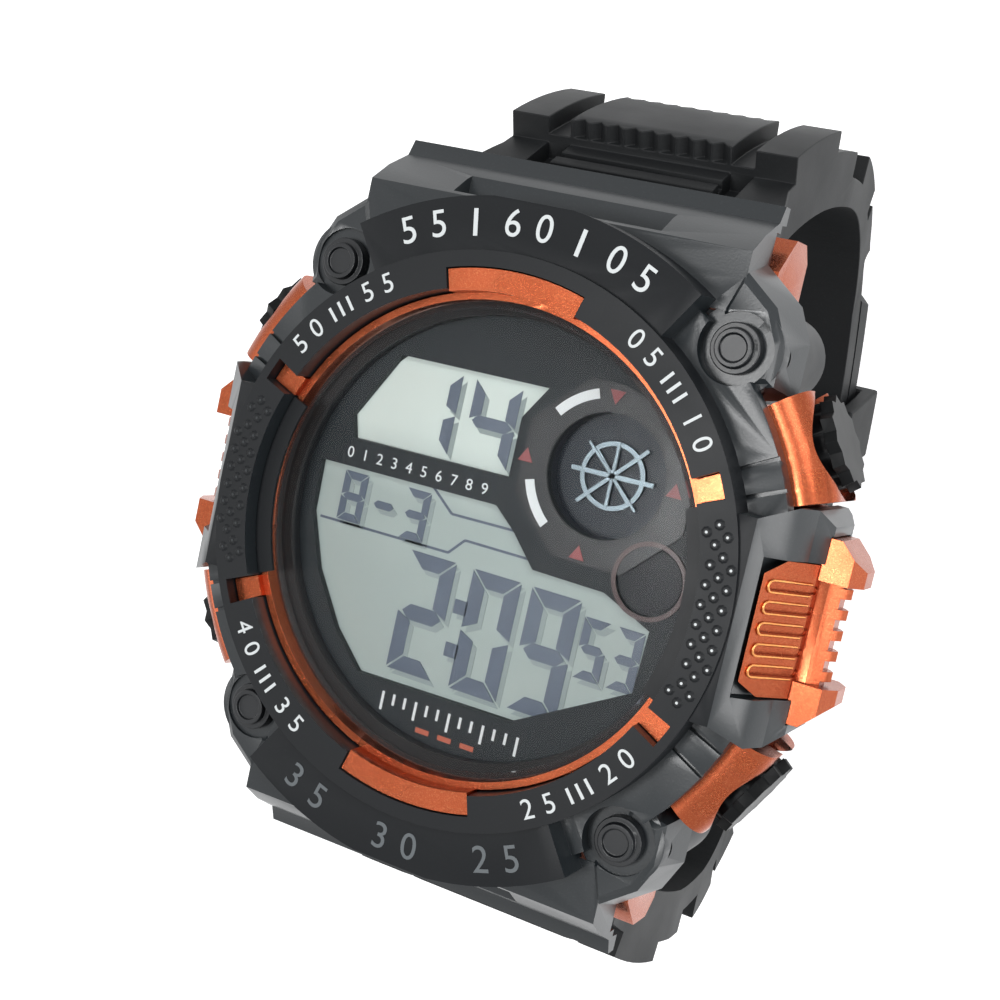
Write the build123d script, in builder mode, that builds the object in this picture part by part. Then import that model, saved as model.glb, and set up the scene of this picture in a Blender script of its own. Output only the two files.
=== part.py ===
from build123d import *
from math import atan2, cos, degrees, radians, sin
import os

os.makedirs("parts", exist_ok=True)

# A digital sports watch, in millimetres. The dial looks along +Z, 12 o'clock is +Y, 3 o'clock is +X.
# The origin is the centre of the flat wrist face of the case back.
# The strap is closed: its two halves overlap under the case, in the buckle and the keeper.

# Case: heights, stacked up from the wrist face through the module to the deck that carries the cover
back_thickness = 1.2
buzzer_thickness = 0.25
buzzer_gap = 0.5
clamp_thickness = 0.25
clamp_leg_height = 2.9
board_thickness = 0.8
zebra_height = 3.4
lcd_glass_thickness = 0.9
dial_thickness = 0.6
ledge_depth = 0.4
clamp_bottom = back_thickness + buzzer_thickness + buzzer_gap
board_bottom = clamp_bottom + clamp_thickness + clamp_leg_height
board_top = board_bottom + board_thickness
lcd_bottom = board_top + zebra_height
dial_bottom = lcd_bottom + lcd_glass_thickness
ledge_bottom = dial_bottom + dial_thickness
deck_height = ledge_bottom + ledge_depth

# Case: heights above the deck
ledge_rise = 0.4
gasket_thickness = 0.4
crystal_thickness = 2.0
lens_ring_rise = 3.5
window_bar_rise = 0.7
ring_rise = 5.3
insert_drop = 0.2
strip_drop = 0.3
plate_drop = 0.5
cover_rise = 1.0
ledge_height = deck_height + ledge_rise
crystal_seat = ledge_height + gasket_thickness
crystal_top = crystal_seat + crystal_thickness
lens_ring_top = deck_height + lens_ring_rise
window_bar_top = lens_ring_top + window_bar_rise
ring_top = deck_height + ring_rise
insert_top = ring_top - insert_drop
strip_top = ring_top - strip_drop
plate_top = ring_top - plate_drop
guard_top = deck_height + cover_rise

# Case: radii
cavity_radius = 17.9
body_radius = 21.4
ledge_width = 0.9
crystal_radius = 17.9
lens_ring_width = 0.6
lens_ring_gap = 0.15
insert_width = 1.6
window_wall = 0.7
flange_width = 2.8
plate_overhang = 1.2
fit_gap = 0.05
part_gap = 0.1
ledge_radius = cavity_radius - ledge_width
lens_ring_outer = crystal_radius + lens_ring_width
ring_inner = lens_ring_outer + lens_ring_gap
insert_outer = lens_ring_outer + insert_width
ring_outer = body_radius
window_outer = ring_outer - window_wall
flange_radius = ring_outer + flange_width
plate_outer = flange_radius + plate_overhang

# Case: angles, in degrees
insert_half_angle = 16.0
plate_half_angle = 33.2
window_angle = 25.75
window_half_angle = 2.7
bar_half_angle = 2.5
window_groove_width = 0.3
window_groove_depth = 0.4

# Side blocks and wings
block_half_width = 8.6
block_corner_set = 1.2
block_end_cut = 1.0
block_slope_reach = 2.3
block_shoulder_reach = 3.1
block_reach = 4.1
block_slope_drop = 2.1
block_shoulder_drop = 4.3
block_outer_drop = 5.9
block_wall = 1.2
side_wall = 2.0
wing_half_width = 8.3
block_slope_start = ring_outer + part_gap
block_slope_edge = ring_outer + block_slope_reach
block_slope_height = strip_top - block_slope_drop
block_shoulder = body_radius + block_shoulder_reach
block_shoulder_height = strip_top - block_shoulder_drop
block_outer = body_radius + block_reach
block_outer_height = strip_top - block_outer_drop

# Side grips
grip_top_y = 4.8
grip_bottom_y = 5.0
grip_corner_cut = 1.0
grip_slope_set = 0.4
grip_slope_length = 2.6
grip_slope_drop = 4.2
grip_foot_rise = 0.4
grip_foot_drop = 0.8
block_foot_drop = 1.0
wing_drop = 1.0
grip_pocket_depth = 0.8
grip_crest_drop = 1.3
tab_end_y = 6.8
tab_length = 3.1
tab_shoulder_reach = 1.8
tab_reach = 2.6
tab_corner_cut = 1.1
tab_rise = 0.1
tab_bevel_height = 1.5
tab_height = 5.0
slot_count = 5
slot_pitch = 1.52
slot_width = 0.6
slot_depth = 0.45
slot_start_share = 0.14
rib_bar_reach = 1.2
rib_reach = 1.8
rib_width = 0.75
rib_rise = 2.0
rib_height = 2.4
grip_slope_x = block_outer - grip_slope_set
grip_inner_x = grip_slope_x - grip_slope_length
grip_inner_height = strip_top - grip_crest_drop
grip_slope_height = grip_inner_height - grip_slope_drop
grip_foot_x = block_outer + grip_foot_rise
tab_shoulder_x = block_outer + tab_shoulder_reach
tab_outer_x = block_outer + tab_reach
tab_top_height = block_outer_height + tab_rise
tab_mid_height = tab_top_height - tab_bevel_height
tab_low_height = tab_top_height - tab_height
rib_low_height = tab_low_height + rib_rise
rib_top_height = rib_low_height + rib_height
grip_foot_height = tab_low_height - grip_foot_drop
block_bottom = grip_foot_height - block_foot_drop
wing_bottom = block_bottom - wing_drop

# Corner bosses and bezel screws
screw_reach = 3.03
screw_angle = 48.15
boss_rise = 1.7
boss_depth = 2.6
boss_taper = 12.0
boss_bevel = 0.5
boss_recess_radius = 2.65
boss_reach = 3.85
boss_floor_rise = 1.4
plug_flange_radius = 1.85
plug_flange_height = 0.9
plug_ring_radius = 1.4
plug_ring_height = 0.5
plug_dish_radius = 1.0
plug_dish_depth = 0.25
plug_shank_radius = 0.8
plug_shank_length = 5.4
pad_radius = 3.3
screw_x = (body_radius + screw_reach) * cos(radians(screw_angle))
screw_y = (body_radius + screw_reach) * sin(radians(screw_angle))
boss_outer_x = screw_x + boss_reach
boss_top = deck_height + boss_rise
boss_bottom = deck_height - boss_depth
boss_recess_floor = deck_height + boss_floor_rise
plug_flange_top = boss_recess_floor + plug_flange_height
plug_ring_top = plug_flange_top + plug_ring_height
plug_shank_bottom = boss_recess_floor - plug_shank_length

# Lugs and the pins of the strap
lug_inner_x = 14.2
lug_width = 2.3
lug_reach = 2.8
lug_length = 10.2
lug_pin_height = 4.0
lug_pin_radius = 0.75
lug_pin_running_gap = 0.05
lug_pin_end_wall = 1.1
lug_end_radius = 2.6
lug_drop = 3.1
lug_top = deck_height - lug_drop
lug_outer_x = lug_inner_x + lug_width
lug_pin_half_length = lug_outer_x - lug_pin_end_wall
lug_pin_y = body_radius + lug_reach
lug_root_y = lug_pin_y - lug_length

# Shrouds over the strap roots
shroud_side_set = 0.8
shroud_inner_set = 0.8
shroud_crest_reach = 3.6
shroud_crest_rise = 1.5
shroud_step_length = 1.4
shroud_step_drop = 0.6
shroud_lip_length = 2.5
shroud_lip_drop = 3.2
shroud_lip_thickness = 1.7
shroud_floor_drop = 3.9
shroud_lip_wall = 1.3
pocket_half_width = 8.6
pocket_depth = 0.7
shroud_half_width = lug_outer_x - shroud_side_set
shroud_inner_y = body_radius - shroud_inner_set
shroud_crest_y = body_radius + shroud_crest_reach
shroud_crest_height = deck_height + shroud_crest_rise
shroud_step_y = shroud_crest_y + shroud_step_length
shroud_step_height = deck_height - shroud_step_drop
shroud_lip_y = shroud_step_y + shroud_lip_length
shroud_lip_height = deck_height - shroud_lip_drop
shroud_lip_bottom = shroud_lip_height - shroud_lip_thickness
shroud_floor = deck_height - shroud_floor_drop

# Guards round the buttons
guard_set = 1.4
guard_reach = 1.5
guard_start_angle = 20.4
guard_size_angle = 17.2
guard_round = 2.3
scoop_radius = 4.3
scoop_gap = 0.8

# Buttons, measured along their own axis from the watch's centre line
button_angle = 29.2
button_drop = 3.9
guard_drop = 3.9
button_travel = 1.0
stem_radius = 1.2
stem_inner_length = 1.0
stem_bore_radius = 1.25
recess_wall = 0.8
recess_radius = 3.3
neck_radius = 3.2
neck_clearance = 1.6
spring_pocket_radius = 2.1
spring_pocket_wall = 1.9
head_set = 0.2
head_length = 0.9
tooth_count = 12
tooth_tip_radius = 3.6
tooth_root_radius = 3.1
head_taper = 8.0
seal_set = 1.0
seal_width = 0.6
seal_groove_radius = 0.85
seal_outer_radius = 1.22
clip_set = 0.65
clip_thickness = 0.4
clip_radius = 2.0
spring_mean_radius = 1.65
spring_wire_radius = 0.18
spring_turns = 4
spring_end_gap = 0.06
button_height = deck_height - button_drop
guard_bottom = button_height - guard_drop
guard_inner = body_radius - guard_set
guard_outer = block_outer + guard_reach
stem_inner_end = cavity_radius - stem_inner_length
clip_start = cavity_radius - clip_set
seal_start = cavity_radius + seal_set
recess_floor = guard_inner + recess_wall
neck_inner_end = recess_floor + neck_clearance
head_start = guard_outer - head_set
spring_pocket_floor = head_start - spring_pocket_wall
scoop_start = head_start - button_travel - scoop_gap

# Case back, its screws and gasket
back_edge_set = 1.0
back_ear_angle = 46.7
back_ear_radius = 2.5
back_edge_bevel = 0.4
back_screw_radius = 0.6
back_screw_length = 3.8
back_screw_head_radius = 1.25
back_screw_head_height = 0.7
driver_slot_width = 0.35
driver_slot_depth = 0.3
back_gasket_set = 0.4
back_gasket_width = 0.8
back_gasket_height = 0.7
back_radius = body_radius - back_edge_set
back_ear_x = body_radius * cos(radians(back_ear_angle))
back_ear_y = body_radius * sin(radians(back_ear_angle))
back_gasket_inner = cavity_radius + back_gasket_set
back_gasket_outer = back_gasket_inner + back_gasket_width

# Module inside the case
dial_gap = 0.1
frame_gap = 0.4
frame_width = 2.1
lcd_half_width = 15.95
lcd_top_y = 12.4
lcd_bottom_y = 13.4
lcd_top_corner = 5.8
lcd_bottom_corner = 7.4
reflector_thickness = 0.7
reflector_inset = 1.8
board_gap = 0.2
frame_rise = 0.3
notch_overlap = 0.5
notch_width = 5.4
notch_height = 6.8
zebra_width = 1.4
zebra_length = 9.0
chip_half_size = 3.2
chip_height = 1.0
chip_x = -4.5
quartz_radius = 0.75
quartz_length = 6.0
quartz_x = 7.0
quartz_y = -5.0
lamp_length = 3.0
lamp_width = 1.4
lamp_height = 0.8
lamp_x = 10.5
cell_radius = 10.0
cell_height = 2.5
cell_step_radius = 8.8
cell_step_height = 0.4
clamp_width = 7.0
clamp_half_length = 12.6
clamp_leg_width = 1.2
shelf_width = 2.0
shelf_thickness = 1.0
buzzer_radius = 8.0
crystal_bevel = 0.55
dial_radius = cavity_radius - dial_gap
frame_bottom = back_thickness + frame_rise
frame_outer = cavity_radius - frame_gap
frame_inner = frame_outer - frame_width
notch_depth_radius = frame_inner - notch_overlap
board_radius = frame_inner - board_gap
shelf_inner = frame_inner - shelf_width

# Dial: windows and the round sub-dial, from the dial's centre
upper_window = [(-10.7, 12.1), (2.2, 12.3), (0.5, 9.7), (0.5, 5.0), (-13.4, 4.8), (-13.9, 6.6)]
lower_window = [
    (-15.9, 2.5), (0.0, 2.7), (1.9, 1.1), (4.1, -1.3), (10.1, -1.4), (14.2, -3.2), (14.0, -8.0),
    (5.1, -13.0), (-8.7, -13.2), (-11.5, -10.4), (-14.2, -6.2), (-15.8, -1.8),
]
subdial_x = 8.2
subdial_y = 7.0
subdial_radius = 4.7
subdial_cup_radius = 5.3
subdial_cup_depth = 1.3
subdial_floor_thickness = 0.3
wheel_radius = 2.6
wheel_rim = 0.35
wheel_bars = 4
wheel_bar_width = 0.28
wheel_height = 0.35
wheel_hub_radius = 0.45
eye_x = 13.3
eye_y = 0.4
eye_radius = 2.6
eye_depth = 0.25

# Strap loop, seen from the side: arcs about centres in the YZ plane
loop_centre_height = 6.0
upper_inner_radius = 50.0
strap_thickness = 2.6
layer_gap = 0.4
outer_gap = 0.5
side_bend_angle = 60.0
strap_belly = 8.4
barrel_radius = 2.5
strap_side_gap = 0.5
strap_middle_half_width = 12.7
strap_end_half_width = 11.0
root_bottom_height = 1.2
shoulder_height = -2.0
shoulder_bottom_height = -20.0
taper_end_height = -38.0
mask_bottom_height = -60.0
tail_tip_angle = 33.0
tail_tip_round = 15.0
hole_pitch_angle = 7.1
hole_count = 8
hole_first_angle = -29.0
hole_length = 2.8
hole_width = 1.8
hole_x = 3.9

# Raised blocks of the strap: start and end as shares of their arc's angle, rise as a share of the crest
crest_rise = 4.0
pad_half_width = 7.2
side_block_inner = 9.2
valley_drop = 1.5
groove_depth = 0.8
groove_angle = 1.1
pad_grooves = 4
knurl_count = 9
knurl_pitch = 1.55
knurl_width = 0.95
knurl_depth = 1.5
crest_shares = (0.34, 0.67, 1.0)
top_block_shares = [(0.67, 0.93, 0.45), (0.15, 0.34, 0.55)]
side_block_shares = [(-0.43, -0.06, 0.65), (-0.8, -0.5, 0.45)]

# Buckle, keeper and tongue, angles about the loop's centre
buckle_pin_radius = 0.75
buckle_pin_gap = 0.08
buckle_pin_half_length = 12.9
buckle_eye_radius = 1.8
frame_inner_half_width = 11.5
frame_outer_half_width = 13.1
front_bar_angle = 14.2
front_bar_size = 3.4
front_bar_thickness = 1.65
keeper_angle = 10.0
keeper_size = 7.4
keeper_thickness = 1.5
keeper_inner_half_width = 11.4
keeper_outer_half_width = 12.9
keeper_layer_gap = 0.35
tongue_half_width = 5.4
tongue_tube_radius = 1.25
prong_width = 2.0
prong_thickness = 1.3
prong_tip_angle = 9.6
knuckle_side_gap = 0.3
strap_eye_radius = 1.3
strap_eye_set = 0.6

overrun = 2.0

# Values that follow from the sizes above
tail_inner_radius = upper_inner_radius + strap_thickness + layer_gap
tail_outer_radius = tail_inner_radius + strap_thickness
frame_bar_inner = tail_outer_radius + outer_gap
frame_bar_outer = frame_bar_inner + front_bar_thickness
buckle_pin_drop = upper_inner_radius + strap_eye_radius - strap_eye_set
widest_inner_y = lug_pin_y + strap_belly
strap_shoulder_half_width = lug_inner_x - strap_side_gap


def polar(centre, radius, angle):
    """Point on a circle, the angle in degrees from the first axis."""
    return (centre[0] + radius * cos(radians(angle)), centre[1] + radius * sin(radians(angle)))


def sector(inner, outer, start, size, centre=(0, 0)):
    """Face of a ring's sector."""
    with BuildSketch() as face:
        with BuildLine():
            CenterArc(centre, inner, start, size)
            CenterArc(centre, outer, start, size)
            Line(polar(centre, inner, start), polar(centre, outer, start))
            Line(polar(centre, inner, start + size), polar(centre, outer, start + size))
        make_face()
    return face.sketch


def polygon(points):
    """Face inside straight lines through the points."""
    with BuildSketch() as face:
        with BuildLine():
            Polyline(*points, close=True)
        make_face()
    return face.sketch


def mirrored(points, sign_x, sign_y):
    """Face of an outline drawn in the first quarter, moved to another quarter."""
    placed = [(sign_x * x, sign_y * y) for x, y in points]
    if sign_x * sign_y < 0:
        placed.reverse()
    return polygon(placed)


def radial_plane(angle, height, distance=0):
    """Plane square to a button's axis, its x direction level and its y direction up."""
    direction = Vector(cos(radians(angle)), sin(radians(angle)), 0)
    level = Vector(-sin(radians(angle)), cos(radians(angle)), 0)
    return Plane(origin=direction * distance + Vector(0, 0, height), x_dir=level, z_dir=direction)


def loop_point(radius, angle):
    """Point in the YZ plane, from the strap loop's centre, the angle in degrees from straight down."""
    return (radius * sin(radians(angle)), loop_centre_height - radius * cos(radians(angle)))


def loop_plane(radius, angle):
    """Plane square to the loop's radius, its x direction across the strap."""
    across, up = loop_point(radius, angle)
    outward = (0, sin(radians(angle)), -cos(radians(angle)))
    return Plane(origin=(0, across, up), x_dir=(1, 0, 0), z_dir=outward)


def strap_path(bottom_radius):
    """Radius, centre and angle of the side arc and the top arc that join the bottom arc to the lug pin."""
    bend = radians(side_bend_angle)
    side_radius = (widest_inner_y - bottom_radius * cos(bend)) / (1 - cos(bend))
    side_y = (bottom_radius - side_radius) * cos(bend)
    side_z = loop_centre_height - (bottom_radius - side_radius) * sin(bend)
    reach = widest_inner_y - lug_pin_y
    rise = lug_pin_height - side_z
    top_radius = (reach**2 + rise**2 - barrel_radius**2) / (2 * (barrel_radius + reach))
    top_y = widest_inner_y - top_radius
    top_angle = degrees(atan2(rise, lug_pin_y - top_y))
    side_arc = (side_radius, (side_y, side_z), side_bend_angle)
    top_arc = (top_radius, (top_y, side_z), top_angle)
    return side_arc, top_arc


def strap_sector(arc, low, high, start, end, side):
    """Face between two heights above one arc of a strap half; side is -1 on the 6 o'clock half."""
    radius, centre, _ = arc
    if side < 0:
        start, end = 180 - start, 180 - end
    return sector(radius + low, radius + high, start, end - start, (side * centre[0], centre[1]))


def crest_plane(arc, share, side):
    """Plane on top of a strap half's crest, at a share of the arc's angle, x across the strap."""
    radius, centre, size = arc
    angle = radians(share * size)
    reach = radius + strap_thickness + crest_rise
    place = (0, side * (centre[0] + reach * cos(angle)), centre[1] + reach * sin(angle))
    return Plane(origin=place, x_dir=(1, 0, 0), z_dir=(0, side * cos(angle), sin(angle)))


def strap_blank(side, bottom_radius, bottom_end):
    """Band of a strap half with its barrel and raised blocks, inside the strap's outline."""
    side_arc, top_arc = strap_path(bottom_radius)
    bottom_arc = (bottom_radius, (0, loop_centre_height), side_bend_angle)
    blocks = [(top_arc, *shares) for shares in [crest_shares, *top_block_shares]]
    blocks += [(side_arc, *shares) for shares in side_block_shares]
    width = 2 * strap_shoulder_half_width
    with BuildPart() as blank:
        with BuildSketch(Plane.YZ.offset(-strap_shoulder_half_width)):
            add(strap_sector(bottom_arc, 0, strap_thickness, bottom_end, -side_bend_angle, side))
            add(strap_sector(side_arc, 0, strap_thickness, -side_bend_angle, 0, side))
            add(strap_sector(top_arc, 0, strap_thickness, 0, top_arc[-1], side))
            with Locations((side * lug_pin_y, lug_pin_height)):
                Circle(barrel_radius)
        extrude(amount=width)
        for arc, start_share, end_share, rise_share in blocks:
            crest = strap_thickness + rise_share * crest_rise
            start = start_share * arc[-1]
            end = end_share * arc[-1]
            with BuildSketch(Plane.YZ.offset(-strap_shoulder_half_width)):
                add(strap_sector(arc, strap_thickness / 2, crest, start, end, side))
            extrude(amount=width)
            # Valleys between the middle pad and the two side blocks
            for inner_x in (pad_half_width, -side_block_inner):
                with BuildSketch(Plane.YZ.offset(inner_x)):
                    valley_floor = max(crest - valley_drop, strap_thickness)
                    add(strap_sector(arc, valley_floor, crest + overrun, start, end, side))
                extrude(amount=side_block_inner - pad_half_width, mode=Mode.SUBTRACT)
            # Grooves across the middle pad, but for the smooth crest
            if rise_share < crest_shares[-1]:
                with BuildSketch(Plane.YZ.offset(-pad_half_width)):
                    for groove in range(1, pad_grooves):
                        middle = start + (end - start) * groove / pad_grooves
                        low = middle - groove_angle / 2
                        high = middle + groove_angle / 2
                        add(strap_sector(arc, crest - groove_depth, crest + overrun, low, high, side))
                extrude(amount=2 * pad_half_width, mode=Mode.SUBTRACT)
        # Notches that leave a row of teeth along both edges of the crest's middle pad
        for share in crest_shares[:2]:
            with BuildSketch(crest_plane(top_arc, share, side)):
                with GridLocations(knurl_pitch, 0, knurl_count, 1):
                    Rectangle(knurl_width, knurl_width, rotation=45)
            extrude(amount=-knurl_depth, mode=Mode.SUBTRACT)
        with BuildSketch(Plane.XZ):
            outline = [
                (strap_shoulder_half_width, lug_pin_height + barrel_radius + overrun),
                (strap_shoulder_half_width, root_bottom_height),
                (strap_middle_half_width, shoulder_height),
                (strap_middle_half_width, shoulder_bottom_height),
                (strap_end_half_width, taper_end_height),
                (strap_end_half_width, mask_bottom_height),
            ]
            add(polygon(outline + [(-x, z) for x, z in reversed(outline)]))
        extrude(amount=-mask_bottom_height, both=True, mode=Mode.INTERSECT)
        # Bore for the pin between the lugs
        with BuildSketch(Plane.YZ.offset(-strap_shoulder_half_width)):
            with Locations((side * lug_pin_y, lug_pin_height)):
                Circle(lug_pin_radius + lug_pin_running_gap)
        extrude(amount=width, mode=Mode.SUBTRACT)
    return blank.part


quarter_signs = [(1, 1), (-1, 1), (-1, -1), (1, -1)]
corner_places = [(sx * screw_x, sy * screw_y) for sx, sy in quarter_signs]
ear_places = [(sx * back_ear_x, sy * back_ear_y) for sx, sy in quarter_signs]
button_places = {
    "2_oclock": button_angle,
    "10_oclock": 180 - button_angle,
    "8_oclock": 180 + button_angle,
    "4_oclock": -button_angle,
}
window_angles = [window_angle, 180 - window_angle, 180 + window_angle, -window_angle]

# Guard blank: one saddle of the case round each button, its outer edges well rounded
with BuildPart() as guards:
    with BuildSketch(Plane.XY.offset(guard_bottom)):
        for angle in (guard_start_angle, 180 - guard_start_angle - guard_size_angle):
            add(sector(guard_inner, guard_outer, angle, guard_size_angle))
            add(sector(guard_inner, guard_outer, angle + 180, guard_size_angle))
    extrude(amount=guard_top - guard_bottom)
    arcs = guards.edges().filter_by(GeomType.CIRCLE)
    rims = [edge for edge in arcs if edge.radius > guard_inner + overrun]
    fillet(rims, radius=guard_round)

lug_outline = [
    (lug_root_y, lug_top),
    (lug_pin_y, lug_top),
    (lug_pin_y + lug_end_radius, lug_pin_height + lug_end_radius / 2),
    (lug_pin_y + lug_end_radius, lug_pin_height - lug_end_radius / 2),
    (lug_pin_y + lug_end_radius / 2, lug_pin_height - lug_end_radius),
    (lug_root_y, back_thickness),
]

# Case frame: the plated middle case with the lens ring, inserts, window bars, guards and lugs
with BuildPart() as case_frame:
    with BuildSketch(Plane.XY.offset(back_thickness)):
        Circle(body_radius)
        with Locations(*corner_places):
            Circle(pad_radius)
        with Locations(*ear_places):
            Circle(back_ear_radius)
    extrude(amount=deck_height - back_thickness)
    with BuildSketch(Plane.XY.offset(wing_bottom)):
        Rectangle(2 * (block_outer - side_wall - part_gap), 2 * wing_half_width)
    extrude(amount=deck_height - wing_bottom)
    add(guards.part)
    for lug_side in (lug_inner_x, -lug_outer_x):
        with BuildSketch(Plane.YZ.offset(lug_side)):
            add(polygon(lug_outline))
            add(polygon([(-y, z) for y, z in lug_outline]))
        extrude(amount=lug_outer_x - lug_inner_x)
    with BuildSketch(Plane.XY.offset(deck_height)):
        Circle(lens_ring_outer)
    extrude(amount=lens_ring_top - deck_height)
    with BuildSketch(Plane.XY.offset(deck_height)):
        insert_inner = lens_ring_outer - fit_gap
        for angle in (90, -90):
            add(sector(insert_inner, insert_outer, angle - insert_half_angle, 2 * insert_half_angle))
    extrude(amount=insert_top - deck_height)
    with BuildSketch(Plane.XY.offset(deck_height)):
        bar_outer = window_outer - part_gap
        for angle in window_angles:
            add(sector(lens_ring_outer - fit_gap, bar_outer, angle - bar_half_angle, 2 * bar_half_angle))
    extrude(amount=window_bar_top - deck_height)
    # Cavity, ledge and crystal seat
    with BuildSketch(Plane.XY.offset(back_thickness)):
        Circle(cavity_radius)
    extrude(amount=ledge_bottom - back_thickness, mode=Mode.SUBTRACT)
    with BuildSketch(Plane.XY.offset(back_thickness)):
        Circle(ledge_radius)
    extrude(amount=ring_top, mode=Mode.SUBTRACT)
    with BuildSketch(Plane.XY.offset(ledge_height)):
        Circle(crystal_radius + fit_gap)
    extrude(amount=ring_top, mode=Mode.SUBTRACT)
    # Groove of the back gasket
    with BuildSketch(Plane.XY.offset(back_thickness)):
        Circle(back_gasket_outer)
        Circle(back_gasket_inner, mode=Mode.SUBTRACT)
    extrude(amount=back_gasket_height, mode=Mode.SUBTRACT)
    # Holes of the back screws and the bezel screws
    with BuildSketch(Plane.XY.offset(back_thickness)):
        with Locations(*ear_places):
            Circle(back_screw_radius + fit_gap)
    extrude(amount=back_screw_length, mode=Mode.SUBTRACT)
    with BuildSketch(Plane.XY.offset(plug_shank_bottom)):
        with Locations(*corner_places):
            Circle(plug_shank_radius + fit_gap)
    extrude(amount=ring_top, mode=Mode.SUBTRACT)
    # Blind holes of the strap pins, from inside the lugs
    with BuildSketch(Plane.YZ.offset(-lug_pin_half_length - part_gap)):
        with Locations((lug_pin_y, lug_pin_height), (-lug_pin_y, lug_pin_height)):
            Circle(lug_pin_radius + lug_pin_running_gap)
    extrude(amount=2 * (lug_pin_half_length + part_gap), mode=Mode.SUBTRACT)
    # Room for the strap barrels between the lugs
    with BuildSketch(Plane.YZ.offset(-lug_inner_x)):
        with Locations((lug_pin_y, lug_pin_height), (-lug_pin_y, lug_pin_height)):
            Circle(barrel_radius + outer_gap)
    extrude(amount=2 * lug_inner_x, mode=Mode.SUBTRACT)
    # Button bores
    for angle in button_places.values():
        with BuildSketch(radial_plane(angle, button_height, ledge_radius)):
            Circle(stem_bore_radius)
        extrude(amount=guard_outer, mode=Mode.SUBTRACT)
        with BuildSketch(radial_plane(angle, button_height, recess_floor)):
            Circle(recess_radius)
        extrude(amount=guard_outer, mode=Mode.SUBTRACT)
        with BuildSketch(radial_plane(angle, button_height, scoop_start)):
            Circle(scoop_radius)
        extrude(amount=guard_outer, mode=Mode.SUBTRACT)

case_frame.part.label = "case_frame"
export_step(case_frame.part, "parts/case_frame.step")

# Side grips: ribbed plated inserts on the side blocks, with a tab at each end
grip_profile = [
    (grip_inner_x, grip_inner_height),
    (grip_slope_x, grip_slope_height),
    (grip_foot_x, grip_foot_height),
    (grip_foot_x - grip_pocket_depth, grip_foot_height),
    (grip_slope_x - grip_pocket_depth, grip_slope_height - part_gap),
    (grip_inner_x - grip_pocket_depth / 2, grip_inner_height - grip_pocket_depth),
]
rib_bar_profile = [
    (grip_slope_x, rib_low_height),
    (grip_slope_x, rib_top_height),
    (grip_foot_x, rib_top_height),
    (block_outer + rib_bar_reach, rib_top_height - grip_pocket_depth),
    (block_outer + rib_bar_reach, rib_low_height),
]
rib_profile = [
    (grip_foot_x, rib_low_height + part_gap),
    (grip_foot_x, rib_top_height - part_gap),
    (block_outer + rib_reach - grip_foot_rise, rib_top_height - grip_pocket_depth),
    (block_outer + rib_reach, rib_low_height + grip_pocket_depth),
    (block_outer + rib_reach - grip_foot_rise, rib_low_height + part_gap),
]
tab_profile = [
    (grip_slope_x, tab_low_height),
    (grip_slope_x, tab_top_height),
    (tab_shoulder_x, tab_top_height),
    (tab_outer_x, tab_mid_height),
    (tab_outer_x, tab_low_height + block_wall),
    (tab_shoulder_x, tab_low_height),
]
tab_pocket = [
    (grip_slope_x - part_gap, tab_low_height - part_gap),
    (grip_slope_x - part_gap, tab_top_height + part_gap),
    (block_outer + block_wall, tab_top_height + part_gap),
    (block_outer + block_wall, tab_low_height - part_gap),
]
tab_starts = (tab_end_y, tab_length - tab_end_y)
tab_corner = [
    (tab_outer_x + overrun, tab_end_y - tab_length + block_wall),
    (tab_outer_x + overrun, tab_end_y + overrun),
    (tab_shoulder_x - tab_corner_cut, tab_end_y + overrun),
    (tab_shoulder_x - tab_corner_cut, tab_end_y),
    (tab_outer_x, tab_end_y - tab_length + block_wall),
]
grip_pocket = [
    (grip_inner_x - part_gap, grip_inner_height + grip_pocket_depth),
    (block_outer + block_wall, grip_inner_height + grip_pocket_depth),
    (block_outer + block_wall, grip_foot_height - part_gap),
    (grip_foot_x - grip_pocket_depth, grip_foot_height - part_gap),
    (grip_slope_x - grip_pocket_depth, grip_slope_height - part_gap),
    (grip_inner_x - grip_pocket_depth / 2 - part_gap, grip_inner_height - grip_pocket_depth),
]
grip_length = grip_top_y + grip_bottom_y
grip_middle_y = (grip_top_y - grip_bottom_y) / 2
grip_slope = degrees(atan2(grip_inner_height - grip_slope_height, grip_slope_x - grip_inner_x))

# Bezel shell: the dark cover with the raised ring, end plates, side blocks, corner bosses and shrouds
block_profile = [
    (ring_inner, deck_height),
    (ring_inner, strip_top),
    (block_slope_start, strip_top),
    (block_slope_edge, block_slope_height),
    (block_shoulder, block_shoulder_height),
    (block_outer, block_outer_height),
    (block_outer, block_bottom + block_wall),
    (block_outer - block_wall / 2, block_bottom),
    (block_outer - side_wall, block_bottom),
    (block_outer - side_wall, deck_height),
]
shroud_profile = [
    (shroud_inner_y, shroud_floor),
    (shroud_inner_y, shroud_crest_height),
    (shroud_crest_y, shroud_crest_height),
    (shroud_step_y, shroud_step_height),
    (shroud_lip_y - shroud_lip_wall, shroud_lip_height),
    (shroud_lip_y, shroud_lip_height - shroud_lip_wall / 2),
    (shroud_lip_y, shroud_lip_bottom),
    (shroud_lip_y - shroud_lip_wall, shroud_lip_bottom),
    (shroud_lip_y - shroud_lip_wall - part_gap, shroud_floor),
]
boss_outline = [
    (screw_x - boss_recess_radius / 2, screw_y - boss_recess_radius - block_wall),
    (boss_outer_x, screw_y - boss_recess_radius - part_gap),
    (boss_outer_x, screw_y + boss_recess_radius / 2),
    (boss_outer_x - block_wall, screw_y + boss_recess_radius + block_wall),
    (screw_x - boss_recess_radius / 2, shroud_crest_y + part_gap),
    (screw_x - boss_recess_radius - part_gap, screw_y + boss_recess_radius),
]

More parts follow.
